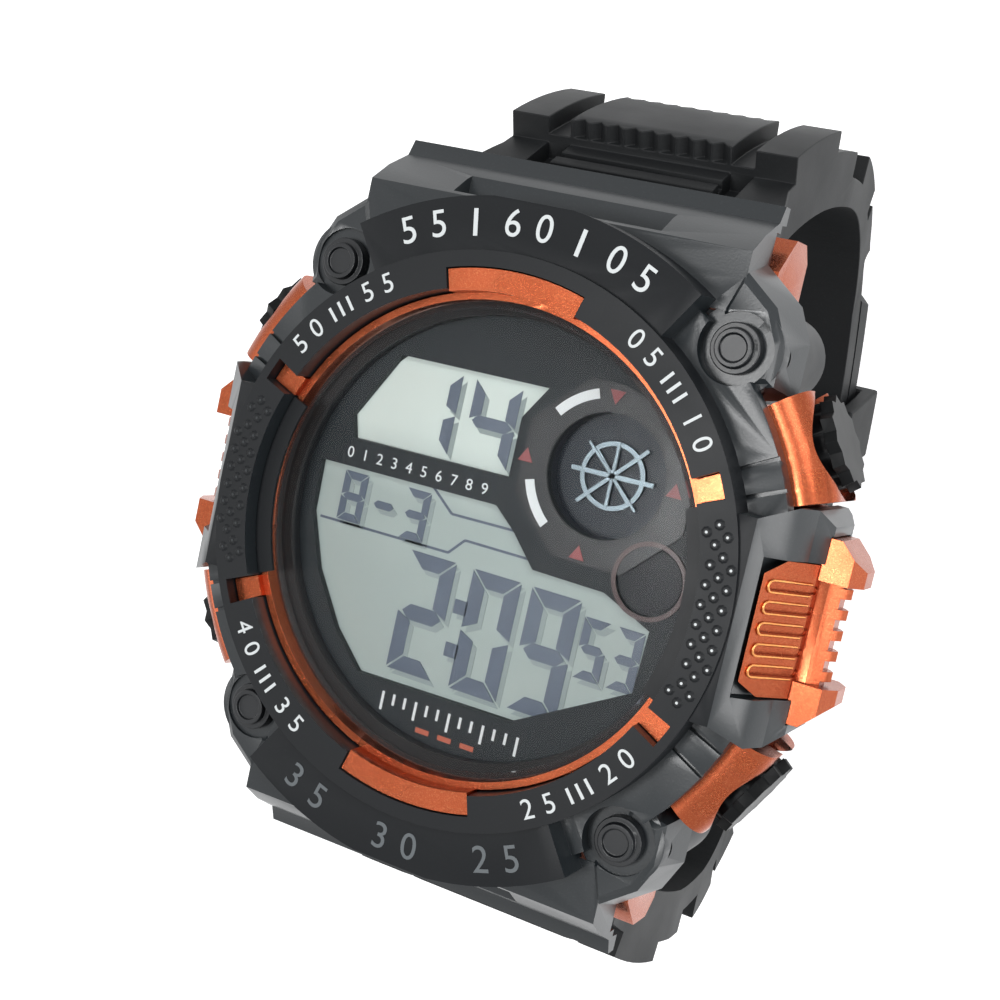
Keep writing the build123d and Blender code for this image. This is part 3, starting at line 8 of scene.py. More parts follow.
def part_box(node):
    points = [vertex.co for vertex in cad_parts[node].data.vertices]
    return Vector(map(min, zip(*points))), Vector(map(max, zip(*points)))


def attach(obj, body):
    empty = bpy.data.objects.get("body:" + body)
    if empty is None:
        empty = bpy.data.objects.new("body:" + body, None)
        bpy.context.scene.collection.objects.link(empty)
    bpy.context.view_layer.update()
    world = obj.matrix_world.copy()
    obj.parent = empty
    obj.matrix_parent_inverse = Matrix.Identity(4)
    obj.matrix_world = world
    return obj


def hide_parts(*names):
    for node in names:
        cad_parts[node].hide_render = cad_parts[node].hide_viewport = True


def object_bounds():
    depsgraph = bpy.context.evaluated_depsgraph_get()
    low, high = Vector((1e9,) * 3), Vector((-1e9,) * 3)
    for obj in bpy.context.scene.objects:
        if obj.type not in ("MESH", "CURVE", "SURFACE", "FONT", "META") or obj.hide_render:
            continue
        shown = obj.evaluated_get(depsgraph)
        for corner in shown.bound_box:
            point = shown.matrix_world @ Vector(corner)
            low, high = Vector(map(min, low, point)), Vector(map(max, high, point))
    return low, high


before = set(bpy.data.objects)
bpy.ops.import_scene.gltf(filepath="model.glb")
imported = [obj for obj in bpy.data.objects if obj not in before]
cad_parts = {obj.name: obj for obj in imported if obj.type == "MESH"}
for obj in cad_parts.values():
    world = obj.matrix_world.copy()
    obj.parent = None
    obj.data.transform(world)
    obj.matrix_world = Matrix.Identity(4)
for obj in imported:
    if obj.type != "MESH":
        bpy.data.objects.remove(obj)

bl_info = {
    "name": "Digital sports watch",
    "version": (1, 0, 0),
    "blender": (4, 5, 0),
    "location": "View3D > Sidebar > Watch",
    "description": "Dresses the packed digital watch: bezel, case, dial, display, buttons and strap",
    "category": "Object",
}

MM = 0.001
CAD_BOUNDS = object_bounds()
BUTTONS = ("2_oclock", "4_oclock", "8_oclock", "10_oclock")

# Heights, radii and places that the printing and the display share with the solids, in metres
RING_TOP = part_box("bezel_shell")[1].z
DIAL_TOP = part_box("dial_plate")[1].z
DISPLAY_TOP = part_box("lcd_glass")[1].z
CRYSTAL_LOW, CRYSTAL_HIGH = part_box("crystal")
PLATE_TOP = RING_TOP - 0.5 * MM
RING_OUTER = 21.5 * MM
LENS_TOP = RING_TOP - 1.8 * MM
SCREW_PLACE = (16.3 * MM, 18.2 * MM)
PAD_RADIUS = 3.3 * MM
LEDGE_RADIUS = 17.3 * MM
FIGURE_RADIUS = 20.05 * MM
UPPER_FIGURE_RADIUS = 23.45 * MM
LOWER_FIGURE_RADIUS = 23.5 * MM
SUBDIAL_PLACE = (8.2 * MM, 7.0 * MM)
EYE_PLACE = (13.35 * MM, 0.35 * MM)
FRAME_RISE = 0.1 * MM
# Room under the closed strap for its halves and the buckle, which dip when they swing open
SWING_ROOM = 8.5 * MM
PRINT_LIFT = 0.012 * MM
PRINT_THICKNESS = 0.03 * MM
# Angle in degrees from which an edge counts as sharp
SMOOTH_ANGLE = 32.0


class WatchSizes(bpy.types.PropertyGroup):
    """Sizes of the printing and of the moulded edges."""

    edge_round: bpy.props.FloatProperty(
        name="Edge rounding", description="Radius of the bezel's moulded edges",
        default=0.22 * MM, unit="LENGTH")
    fine_round: bpy.props.FloatProperty(
        name="Fine rounding", description="Radius of the edges of the case, grips, buttons and buckle",
        default=0.1 * MM, unit="LENGTH")
    strap_round: bpy.props.FloatProperty(
        name="Strap rounding", description="Radius of the strap's edges",
        default=0.3 * MM, unit="LENGTH")
    ring_figure: bpy.props.FloatProperty(
        name="Ring figures", description="Height of the figures on the raised ring",
        default=2.1 * MM, unit="LENGTH")
    plate_figure: bpy.props.FloatProperty(
        name="Plate figures", description="Height of the figures on the 12 and 6 o'clock plates",
        default=2.9 * MM, unit="LENGTH")
    dial_figure: bpy.props.FloatProperty(
        name="Dial figures", description="Height of the small figures on the dial",
        default=1.25 * MM, unit="LENGTH")
    rim_rise: bpy.props.FloatProperty(
        name="Grip rim rise", description="Height of the raised rim round each slot of the side grips",
        default=0.16 * MM, unit="LENGTH")


class WatchColours(bpy.types.PropertyGroup):
    """Colours of the finishes."""

    resin: bpy.props.FloatVectorProperty(
        name="Bezel resin", description="Satin resin of the bezel", subtype="COLOR", size=4,
        default=(0.0135, 0.0175, 0.0205, 1))
    ink: bpy.props.FloatVectorProperty(
        name="Plate black", description="Matt black of the ring and the end plates", subtype="COLOR", size=4,
        default=(0.0058, 0.007, 0.0085, 1))
    copper: bpy.props.FloatVectorProperty(
        name="Copper plating", description="Plated guards, grips and lens ring", subtype="COLOR", size=4,
        default=(0.35, 0.08, 0.034, 1))
    strap: bpy.props.FloatVectorProperty(
        name="Strap resin", description="Soft black resin of the strap", subtype="COLOR", size=4,
        default=(0.0105, 0.0115, 0.0125, 1))
    button: bpy.props.FloatVectorProperty(
        name="Button black", description="Smooth black of the buttons", subtype="COLOR", size=4,
        default=(0.004, 0.0045, 0.005, 1))
    figure: bpy.props.FloatVectorProperty(
        name="Figure white", description="Printed figures", subtype="COLOR", size=4,
        default=(0.72, 0.76, 0.77, 1))
    film: bpy.props.FloatVectorProperty(
        name="Display film", description="Reflective film of the display", subtype="COLOR", size=4,
        default=(0.31, 0.37, 0.355, 1))
    segment: bpy.props.FloatVectorProperty(
        name="Display segment", description="Dark segments of the figures", subtype="COLOR", size=4,
        default=(0.04, 0.06, 0.095, 1))


def sizes():
    return bpy.context.scene.watch_sizes


def colours():
    return bpy.context.scene.watch_colours


# Node groups

def set_socket(socket, value):
    """Set a socket, or link it when the value is an output."""
    if isinstance(value, bpy.types.NodeSocket):
        socket.id_data.links.new(value, socket)
    else:
        socket.default_value = value


def fill_inputs(node, **inputs):
    """Set or link a node's inputs; an input's name has _ for a space."""
    for name, value in inputs.items():
        set_socket(node.inputs[name.replace("_", " ")], value)


def add_node(tree, kind, **inputs):
    node = tree.nodes.new(kind)
    fill_inputs(node, **inputs)
    return node


def math_node(tree, operation, first, second, clamp=False):
    """Output of a Math node."""
    node = tree.nodes.new("ShaderNodeMath")
    node.operation = operation
    node.use_clamp = clamp
    set_socket(node.inputs[0], first)
    set_socket(node.inputs[1], second)
    return node.outputs[0]


def blend_colours(tree, mask, low, high):
    """Output of a colour Mix node."""
    node = tree.nodes.new("ShaderNodeMix")
    node.data_type = "RGBA"
    for name, value in (("Factor", mask), ("A", low), ("B", high)):
        set_socket(next(s for s in node.inputs if s.name == name and s.enabled), value)
    return next(s for s in node.outputs if s.enabled)


def shade_range(tree, value, low, high, to_low, to_high):
    """Output of a Map Range node."""
    node = add_node(tree, "ShaderNodeMapRange", Value=value, From_Min=low, From_Max=high, To_Min=to_low,
                    To_Max=to_high)
    return node.outputs["Result"]


def new_group(name, inputs, outputs):
    """Empty node group with (name, socket type, default) inputs; what it is given, and its end node."""
    tree = bpy.data.node_groups.new(name, "ShaderNodeTree")
    for label, kind, default in inputs:
        socket = tree.interface.new_socket(name=label, in_out="INPUT", socket_type=kind)
        socket.default_value = default
    for label, kind in outputs:
        tree.interface.new_socket(name=label, in_out="OUTPUT", socket_type=kind)
    return tree, tree.nodes.new("NodeGroupInput").outputs, tree.nodes.new("NodeGroupOutput")


COLOUR = "NodeSocketColor"
NUMBER = "NodeSocketFloat"


def object_place(tree):
    return tree.nodes.new("ShaderNodeTexCoord").outputs["Object"]


def noise(tree, place, scale, detail, rough):
    node = add_node(tree, "ShaderNodeTexNoise", Vector=place, Scale=scale, Detail=detail, Roughness=rough)
    return node.outputs["Fac"]


def make_grain_group():
    """Moulded resin: a fine even grain, faint lighter flecks and slow changes of gloss."""
    tree, given, result = new_group(
        "moulded_grain",
        [("Colour", COLOUR, (0.05, 0.05, 0.05, 1)), ("Fleck colour", COLOUR, (0.2, 0.2, 0.2, 1)),
         ("Grain scale", NUMBER, 5200.0), ("Fleck share", NUMBER, 0.25),
         ("Roughness", NUMBER, 0.45), ("Roughness spread", NUMBER, 0.08)],
        [("Colour", COLOUR), ("Roughness", NUMBER), ("Height", NUMBER)])
    place = object_place(tree)
    fine = noise(tree, place, given["Grain scale"], 3.0, 0.6)
    slow = noise(tree, place, 90.0, 4.0, 0.55)
    flecks = shade_range(tree, fine, 0.56, 0.78, 0.0, given["Fleck share"])
    colour = blend_colours(tree, flecks, given["Colour"], given["Fleck colour"])
    slow = math_node(tree, "SUBTRACT", slow, 0.5)
    spread = math_node(tree, "MULTIPLY", slow, given["Roughness spread"])
    spread = math_node(tree, "MULTIPLY", spread, 4.0)
    spread = math_node(tree, "ADD", given["Roughness"], spread)
    fill_inputs(result, Colour=colour, Roughness=spread, Height=fine)
    return tree


def make_plating_group():
    """Copper plating: darker and brighter patches, tiny bright sparkles and an orange-peel height."""
    tree, given, result = new_group(
        "plating_sparkle",
        [("Colour", COLOUR, (0.7, 0.2, 0.1, 1)), ("Sparkle colour", COLOUR, (1.0, 0.6, 0.25, 1)),
         ("Deep colour", COLOUR, (0.3, 0.05, 0.03, 1)), ("Sparkle scale", NUMBER, 6500.0),
         ("Roughness", NUMBER, 0.3)],
        [("Colour", COLOUR), ("Roughness", NUMBER), ("Height", NUMBER)])
    place = object_place(tree)
    cells = add_node(tree, "ShaderNodeTexVoronoi", Vector=place, Scale=given["Sparkle scale"])
    tone = add_node(tree, "ShaderNodeSeparateColor", Color=cells.outputs["Color"]).outputs["Red"]
    sparkle = shade_range(tree, tone, 0.75, 1.0, 0.0, 0.5)
    deep = shade_range(tree, tone, 0.0, 0.3, 0.35, 0.0)
    slow = noise(tree, place, 160.0, 3.0, 0.5)
    colour = blend_colours(tree, deep, given["Colour"], given["Deep colour"])
    colour = blend_colours(tree, sparkle, colour, given["Sparkle colour"])
    rough = shade_range(tree, slow, 0.3, 0.7, -0.06, 0.08)
    rough = math_node(tree, "ADD", given["Roughness"], rough)
    fill_inputs(result, Colour=colour, Roughness=rough, Height=tone)
    return tree


def make_brush_group():
    """Brushed metal: fine lines along X, with uneven gloss."""
    tree, given, result = new_group(
        "brushed_lines",
        [("Colour", COLOUR, (0.5, 0.5, 0.5, 1)), ("Line scale", NUMBER, 9000.0),
         ("Stretch", NUMBER, 0.02), ("Roughness", NUMBER, 0.3)],
        [("Colour", COLOUR), ("Roughness", NUMBER), ("Height", NUMBER)])
    place = object_place(tree)
    stretch = add_node(tree, "ShaderNodeCombineXYZ", X=given["Stretch"], Y=1.0, Z=1.0)
    drawn = tree.nodes.new("ShaderNodeVectorMath")
    drawn.operation = "MULTIPLY"
    set_socket(drawn.inputs[0], place)
    set_socket(drawn.inputs[1], stretch.outputs["Vector"])
    lines = noise(tree, drawn.outputs["Vector"], given["Line scale"], 2.0, 0.5)
    dark = add_node(tree, "ShaderNodeHueSaturation", Value=0.72, Color=given["Colour"])
    colour = blend_colours(tree, lines, dark.outputs["Color"], given["Colour"])
    rough = shade_range(tree, lines, 0.3, 0.7, -0.08, 0.1)
    rough = math_node(tree, "ADD", given["Roughness"], rough)
    fill_inputs(result, Colour=colour, Roughness=rough, Height=lines)
    return tree


def make_film_group():
    """Display film: a slow change of tone across the window, lighter towards the top as painted light, and a
    faint cloud.
    """
    tree, given, result = new_group(
        "display_film",
        [("Colour", COLOUR, (0.4, 0.45, 0.43, 1)), ("Light colour", COLOUR, (0.6, 0.67, 0.65, 1))],
        [("Colour", COLOUR), ("Roughness", NUMBER)])
    place = object_place(tree)
    height = add_node(tree, "ShaderNodeSeparateXYZ", Vector=place).outputs["Y"]
    # Painted light: the film turns from its colour to the lighter painted light colour towards the top of
    # the window
    slope = shade_range(tree, height, 1.0 * MM, 6.5 * MM, 0.0, 1.0)
    cloud = noise(tree, place, 110.0, 3.0, 0.5)
    mask = math_node(tree, "ADD", slope, shade_range(tree, cloud, 0.35, 0.65, -0.09, 0.09), clamp=True)
    colour = blend_colours(tree, mask, given["Colour"], given["Light colour"])
    fill_inputs(result, Colour=colour, Roughness=shade_range(tree, cloud, 0.3, 0.7, 0.42, 0.52))
    return tree


GROUPS = {}


def effect(name):
    """The node group of that name, made once."""
    makers = {"grain": make_grain_group, "plating": make_plating_group,
              "brush": make_brush_group, "film": make_film_group}
    if name not in GROUPS:
        GROUPS[name] = makers[name]()
    return GROUPS[name]


def start_material(name):
    """A material with its Principled shader."""
    material = bpy.data.materials.new(name)
    material.use_nodes = True
    shader = material.node_tree.nodes["Principled BSDF"]
    return material, material.node_tree, shader


def place_effect(tree, shader, name, bump_depth=0.0, **inputs):
    """Put a node group in a material and link what it gives to the shader."""
    group = tree.nodes.new("ShaderNodeGroup")
    group.node_tree = effect(name)
    fill_inputs(group, **inputs)
    fill_inputs(shader, Base_Color=group.outputs["Colour"], Roughness=group.outputs["Roughness"])
    if bump_depth:
        bump = add_node(tree, "ShaderNodeBump", Distance=bump_depth, Height=group.outputs["Height"])
        fill_inputs(shader, Normal=bump.outputs["Normal"])


def grain_material(name, colour, fleck, roughness, scale=5200.0, share=0.25, depth=0.006 * MM, spread=0.08,
                   shine=0.5):
    material, tree, shader = start_material(name)
    fill_inputs(shader, Specular_IOR_Level=shine)
    place_effect(tree, shader, "grain", depth, Colour=colour, Fleck_colour=fleck, Grain_scale=scale,
                 Fleck_share=share, Roughness=roughness, Roughness_spread=spread)
    return material


def metal_material(name, colour, roughness, stretch):
    material, tree, shader = start_material(name)
    place_effect(tree, shader, "brush", 0.003 * MM, Colour=colour, Stretch=stretch, Roughness=roughness)
    fill_inputs(shader, Metallic=1.0)
    return material


def plating_material(name, colour, sparkle, deep, roughness, depth):
    material, tree, shader = start_material(name)
    place_effect(tree, shader, "plating", depth, Colour=colour, Sparkle_colour=sparkle, Deep_colour=deep,
                 Sparkle_scale=16000.0, Roughness=roughness)
    fill_inputs(shader, Metallic=1.0)
    return material


def make_glass(name, bend, roughness):
    """Crystal glass; light passes it straight on its way to the dial."""
    material, tree, shader = start_material(name)
    fill_inputs(shader, Base_Color=(0.97, 0.985, 0.985, 1), Roughness=roughness, IOR=bend,
                Transmission_Weight=1.0)
    clear = tree.nodes.new("ShaderNodeBsdfTransparent")
    path = tree.nodes.new("ShaderNodeLightPath").outputs
    mix = add_node(tree, "ShaderNodeMixShader",
                   Fac=math_node(tree, "ADD", path["Is Shadow Ray"], path["Is Diffuse Ray"], clamp=True))
    set_socket(mix.inputs[1], shader.outputs["BSDF"])
    set_socket(mix.inputs[2], clear.outputs["BSDF"])
    fill_inputs(tree.nodes["Material Output"], Surface=mix.outputs["Shader"])
    return material


def make_film():
    material, tree, shader = start_material("display_film")
    # The lighter colour is painted light towards the top of the display
    place_effect(tree, shader, "film", Colour=colours().film, Light_colour=(0.6, 0.68, 0.64, 1))
    return material


# Moulded, coated and printed finishes: colour or its name in the settings, fleck colour, roughness, the rest
GRAINS = {
    "bezel_resin": ("resin", (0.055, 0.064, 0.068, 1), 0.31, {"spread": 0.03}),
    "plate_ink": ("ink", (0.02, 0.023, 0.026, 1), 0.46, {"share": 0.2, "depth": 0.003 * MM, "shine": 0.22}),
    "strap_resin": ("strap", (0.03, 0.033, 0.036, 1), 0.55,
                    {"scale": 4200.0, "depth": 0.008 * MM, "shine": 0.22}),
    "button_black": ("button", (0.012, 0.013, 0.015, 1), 0.4,
                     {"share": 0.15, "depth": 0.002 * MM, "shine": 0.12}),
    "screw_black": ((0.008, 0.0095, 0.0115, 1), (0.03, 0.034, 0.038, 1), 0.35,
                    {"share": 0.2, "depth": 0.003 * MM, "shine": 0.4}),
    # White of the printed figures, also used for the painted highlights on the right-hand strip dots
    "white_print_and_highlight": ("figure", (0.8, 0.83, 0.85, 1), 0.5,
                     {"scale": 7000.0, "share": 0.3, "depth": 0.002 * MM}),
    "figure_grey": ((0.11, 0.125, 0.135, 1), (0.17, 0.18, 0.19, 1), 0.45, {"scale": 7000.0}),
    "figure_orange": ((0.4, 0.075, 0.03, 1), (0.5, 0.14, 0.06, 1), 0.5, {"scale": 7000.0}),
    "figure_red": ((0.17, 0.022, 0.024, 1), (0.24, 0.04, 0.04, 1), 0.5, {"scale": 7000.0}),
    "segment_dark": ("segment", (0.07, 0.09, 0.12, 1), 0.45, {"scale": 9000.0, "share": 0.3}),
    "segment_shadow": ((0.225, 0.275, 0.27, 1), (0.24, 0.29, 0.285, 1), 0.5, {"scale": 9000.0}),
    "dial_grey": ((0.010, 0.0135, 0.016, 1), (0.03, 0.036, 0.04, 1), 0.45,
                  {"scale": 6000.0, "share": 0.3, "depth": 0.003 * MM, "shine": 0.14}),
    "dial_black": ((0.014, 0.019, 0.026, 1), (0.035, 0.043, 0.052, 1), 0.4,
                   {"scale": 6000.0, "depth": 0.003 * MM, "shine": 0.15}),
    "dial_frame": ((0.005, 0.0062, 0.0078, 1), (0.015, 0.017, 0.02, 1), 0.4,
                   {"scale": 6000.0, "share": 0.2, "depth": 0.002 * MM, "shine": 0.25}),
    "eye_rim": ((0.045, 0.022, 0.022, 1), (0.07, 0.035, 0.035, 1), 0.4, {"scale": 6000.0, "shine": 0.3}),
    "eye_dark": ((0.006, 0.008, 0.011, 1), (0.012, 0.015, 0.02, 1), 0.35,
                 {"share": 0.1, "depth": 0.001 * MM, "shine": 0.1}),
    "seal_rubber": ((0.012, 0.012, 0.013, 1), (0.03, 0.03, 0.03, 1), 0.7, {"scale": 3000.0}),
    "module_plastic": ((0.03, 0.032, 0.035, 1), (0.07, 0.07, 0.075, 1), 0.5, {"scale": 3500.0}),
    "board_green": ((0.01, 0.1, 0.035, 1), (0.02, 0.16, 0.06, 1), 0.35, {"scale": 2500.0}),
    "chip_black": ((0.008, 0.008, 0.009, 1), (0.02, 0.02, 0.02, 1), 0.35, {"scale": 3000.0}),
    "light_guide": ((0.75, 0.77, 0.72, 1), (0.85, 0.86, 0.82, 1), 0.4, {"scale": 3000.0}),
    "contact_rubber": ((0.4, 0.08, 0.09, 1), (0.1, 0.03, 0.03, 1), 0.6, {"scale": 4000.0, "share": 0.6}),
    "lamp_amber": ((0.7, 0.4, 0.12, 1), (0.9, 0.6, 0.2, 1), 0.25, {"scale": 3000.0}),
}
# Bare metals: colour, roughness, stretch of the brushed lines
METALS = {
    "steel": ((0.42, 0.43, 0.44, 1), 0.32, 0.02),
    "bright_steel": ((0.6, 0.61, 0.62, 1), 0.22, 0.02),
    "wheel_steel": ((0.115, 0.14, 0.155, 1), 0.4, 1.0),
    "brass": ((0.7, 0.5, 0.2, 1), 0.28, 1.0),
}
# Platings: colour or its name in the settings, sparkle colour, deep colour, roughness, depth
PLATINGS = {
    "copper_plating": ("copper", (0.5, 0.18, 0.08, 1), (0.19, 0.034, 0.015, 1), 0.25, 0.006 * MM),
    # Brighter copy of the copper plating for the grip rims: painted highlight
    "copper_painted_highlight": ((0.72, 0.3, 0.1, 1), (0.9, 0.5, 0.2, 1), (0.5, 0.16, 0.05, 1), 0.24, 0.004 * MM),
}
# Glass: refraction index and roughness
GLASSES = {"crystal_glass": (1.16, 0.01), "crystal_rim": (1.45, 0.22)}
MATERIALS = {}


def make_finish(name):
    """A new material from the tables above."""
    if name in GLASSES:
        return make_glass(name, *GLASSES[name])
    if name in METALS:
        return metal_material(name, *METALS[name])
    if name == "display_film":
        return make_film()
    colour, *look = GRAINS[name] if name in GRAINS else PLATINGS[name]
    if isinstance(colour, str):
        colour = getattr(colours(), colour)
    if name in PLATINGS:
        return plating_material(name, colour, *look)
    fleck, roughness, details = look
    return grain_material(name, colour, fleck, roughness, **details)


def finish_of(name):
    """The finish of that name, made once."""
    if name not in MATERIALS:
        MATERIALS[name] = make_finish(name)
    return MATERIALS[name]


# Making pieces

def new_object(name, data):
    """An object in the scene; a bmesh is turned into its mesh."""
    if isinstance(data, bmesh.types.BMesh):
        mesh = bpy.data.meshes.new(name)
        data.to_mesh(mesh)
        data.free()
        data = mesh
    item = bpy.data.objects.new(name, data)
    bpy.context.scene.collection.objects.link(item)
    return item


def finish_piece(bm, name, body, slot, *finishes):
    """Turn a bmesh into a piece that rides on a body and takes the given finishes; the slot is not used."""
    piece = new_object(name, bm)
    for finish in finishes:
        piece.data.materials.append(finish_of(finish))
    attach(piece, body)
    return piece


def smooth(piece, angle=SMOOTH_ANGLE):
    """Shade a piece smooth, with edges sharper than the angle left crisp."""
    for face in piece.data.polygons:
        face.use_smooth = True
    piece.data.set_sharp_from_angle(angle=radians(angle))


def round_edges(piece, radius, angle):
    bevel = piece.modifiers.new("edges", "BEVEL")
    bevel.width = radius
    bevel.segments = 2
    bevel.limit_method = "ANGLE"
    bevel.angle_limit = radians(angle)
    return bevel


def merged_copy(node):
    """A bmesh of a solid with its doubles merged and its flat faces made whole."""
    bm = bmesh.new()
    bm.from_mesh(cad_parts[node].data)
    bmesh.ops.remove_doubles(bm, verts=bm.verts, dist=0.002 * MM)
    bmesh.ops.dissolve_limit(bm, angle_limit=radians(0.5), verts=bm.verts, edges=bm.edges,
                             use_dissolve_boundaries=False)
    return bm


def rounded_copy(node, body, slot, radius, *finishes, choose=None):
    """A copy of a solid with its edges rounded, shown in its place; choose gives a face its finish."""
    bm = merged_copy(node)
    if choose:
        for face in bm.faces:
            face.material_index = choose(face)
    piece = finish_piece(bm, f"{node}_shown", body, slot, *finishes)
    smooth(piece)
    bevel = round_edges(piece, radius, SMOOTH_ANGLE)
    bevel.harden_normals = True
    bevel.miter_outer = "MITER_ARC"
    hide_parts(node)


def dress(node, finish):
    """Give a solid that stays as it is its finish."""
    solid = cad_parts[node]
    solid.data.materials.clear()
    solid.data.materials.append(finish_of(finish))
    for face in solid.data.polygons:
        face.material_index = 0


def outline_plate(bm, points, low, thickness):
    """A thin plate with straight sides inside the points."""
    face = bm.faces.new([bm.verts.new((x, y, low)) for x, y in points])
    if signed_area(points) > 0:
        face.normal_flip()
    raised = bmesh.ops.extrude_face_region(bm, geom=[face])
    moved = [item for item in raised["geom"] if isinstance(item, bmesh.types.BMVert)]
    bmesh.ops.translate(bm, verts=moved, vec=(0, 0, thickness))


def signed_area(points):
    closed = zip(points, points[1:] + points[:1])
    return sum(x0 * y1 - x1 * y0 for (x0, y0), (x1, y1) in closed) / 2


def polar(radius, angle, centre=(0, 0)):
    return (centre[0] + radius * cos(radians(angle)), centre[1] + radius * sin(radians(angle)))


def arc_plate(bm, inner, outer, start, size, low, thickness, centre=(0, 0), steps=12):
    """A thin plate in the shape of a ring's sector."""
    angles = [start + size * step / steps for step in range(steps + 1)]
    points = [polar(outer, angle, centre) for angle in angles]
    points += [polar(inner, angle, centre) for angle in reversed(angles)]
    outline_plate(bm, points, low, thickness)


def inside(point, limit):
    """The point, drawn in to the limit from the dial's centre where it lies further out."""
    reach = Vector(point).length
    return point if reach < limit else (point[0] * limit / reach, point[1] * limit / reach)


def box_plate(bm, left, right, near, far, low, thickness):
    """A thin plate with four square corners."""
    outline_plate(bm, [(left, near), (right, near), (right, far), (left, far)], low, thickness)


def stroke_plate(bm, start, end, width, low, thickness):
    """A thin straight bar between two points."""
    along = (Vector(end) - Vector(start)).normalized()
    side = Vector((-along.y, along.x)) * width / 2
    corners = [Vector(start) - side, Vector(end) - side, Vector(end) + side, Vector(start) + side]
    outline_plate(bm, [tuple(corner) for corner in corners], low, thickness)


def disc(bm, centre, radius, low, thickness, steps):
    points = [polar(radius, 360 * step / steps, centre) for step in range(steps)]
    outline_plate(bm, points, low, thickness)


def add_figure(bm, figure, height, place, turn=0.0):
    """Lay one plain figure flat, centred on a place and turned in degrees."""
    curve = bpy.data.curves.new("figures", "FONT")
    curve.body = figure
    curve.size = height
    curve.align_x = "CENTER"
    curve.align_y = "CENTER"
    curve.extrude = PRINT_THICKNESS / 2
    curve.space_character = 1.12
    holder = new_object("figures", curve)
    bpy.context.view_layer.update()
    mesh = bpy.data.meshes.new_from_object(holder.evaluated_get(bpy.context.evaluated_depsgraph_get()))
    bpy.data.objects.remove(holder)
    mesh.transform(Matrix.Translation(place) @ Matrix.Rotation(radians(turn), 4, "Z"))
    bm.from_mesh(mesh)
    bpy.data.meshes.remove(mesh)


def arc_figures(bm, text, height, radius, middle, pitch, level, outward=True):
    """Figures one by one along an arc; outward figures have their feet towards the centre."""
    step = -pitch if outward else pitch
    first = middle - step * (len(text) - 1) / 2
    for index, figure in enumerate(text):
        angle = first + step * index
        turn = angle - 90 if outward else angle + 90
        add_figure(bm, figure, height, (*polar(radius, angle), level), turn)


def arc_ticks(bm, radius, length, width, angles, level):
    """Short radial marks."""
    for angle in angles:
        along = Vector(polar(1, angle))
        side = Vector((-along.y, along.x))
        inner = along * (radius - length / 2)
        outer = along * (radius + length / 2)
        half = side * width / 2
        points = [inner - half, outer - half, outer + half, inner + half]
        outline_plate(bm, [tuple(point) for point in points], level, PRINT_THICKNESS)


# Seven-segment figures of the display: which of the segments a to g each figure lights
FIGURE_SEGMENTS = {
    "0": "abcdef", "1": "bc", "2": "abged", "3": "abgcd", "4": "fgbc",
    "5": "afgcd", "6": "afgedc", "7": "abc", "8": "abcdefg", "9": "abcdfg", "-": "g",
}


def segment_points(name, width, height, stroke, gap):
    """Outline of one segment of a figure whose lower left corner is the origin."""
    half = height / 2
    rows = {"a": height - stroke, "g": half - stroke / 2, "d": 0}
    columns = {"f": (0, half), "b": (width - stroke, half), "e": (0, 0), "c": (width - stroke, 0)}
    cut = stroke / 2
    if name in rows:
        low = rows[name]
        if name == "g":
            return [(gap + cut * 0.4, low + cut), (gap + cut * 1.4, low), (width - gap - cut * 1.4, low),
                    (width - gap - cut * 0.4, low + cut), (width - gap - cut * 1.4, low + stroke),
                    (gap + cut * 1.4, low + stroke)]
        wide, narrow = (low + stroke, low) if name == "a" else (low, low + stroke)
        return [(gap, wide), (width - gap, wide), (width - gap - stroke, narrow), (gap + stroke, narrow)]
    left, low = columns[name]
    outer, inner = (left, left + stroke) if name in "fe" else (left + stroke, left)
    if name in "fb":
        return [(outer, low + half - gap), (inner, low + half - gap - stroke),
                (inner, low + gap + cut), (outer, low + gap)]
    return [(outer, low + gap), (inner, low + gap + stroke),
            (inner, low + half - gap - cut), (outer, low + half - gap)]


def add_segments(bm, figures, place, width, height, stroke, pitch, level, shift):
    """Figures made of display segments, from their lower left corner."""
    gap = stroke * 0.09
    for index, figure in enumerate(figures):
        left = place[0] + index * pitch + shift[0]
        low = place[1] + shift[1]
        if figure == ":":
            half = stroke * 0.45
            x = left + pitch * 0.42
            for share in (0.3, 0.66):
                y = low + height * share
                box_plate(bm, x - half, x + half, y - half, y + half, level, PRINT_THICKNESS)
            continue
        for name in FIGURE_SEGMENTS[figure]:
            points = segment_points(name, width, height, stroke, gap)
            placed = [(left + x, low + y) for x, y in points]
            outline_plate(bm, placed, level, PRINT_THICKNESS)


# Operators: one for each piece or group of pieces

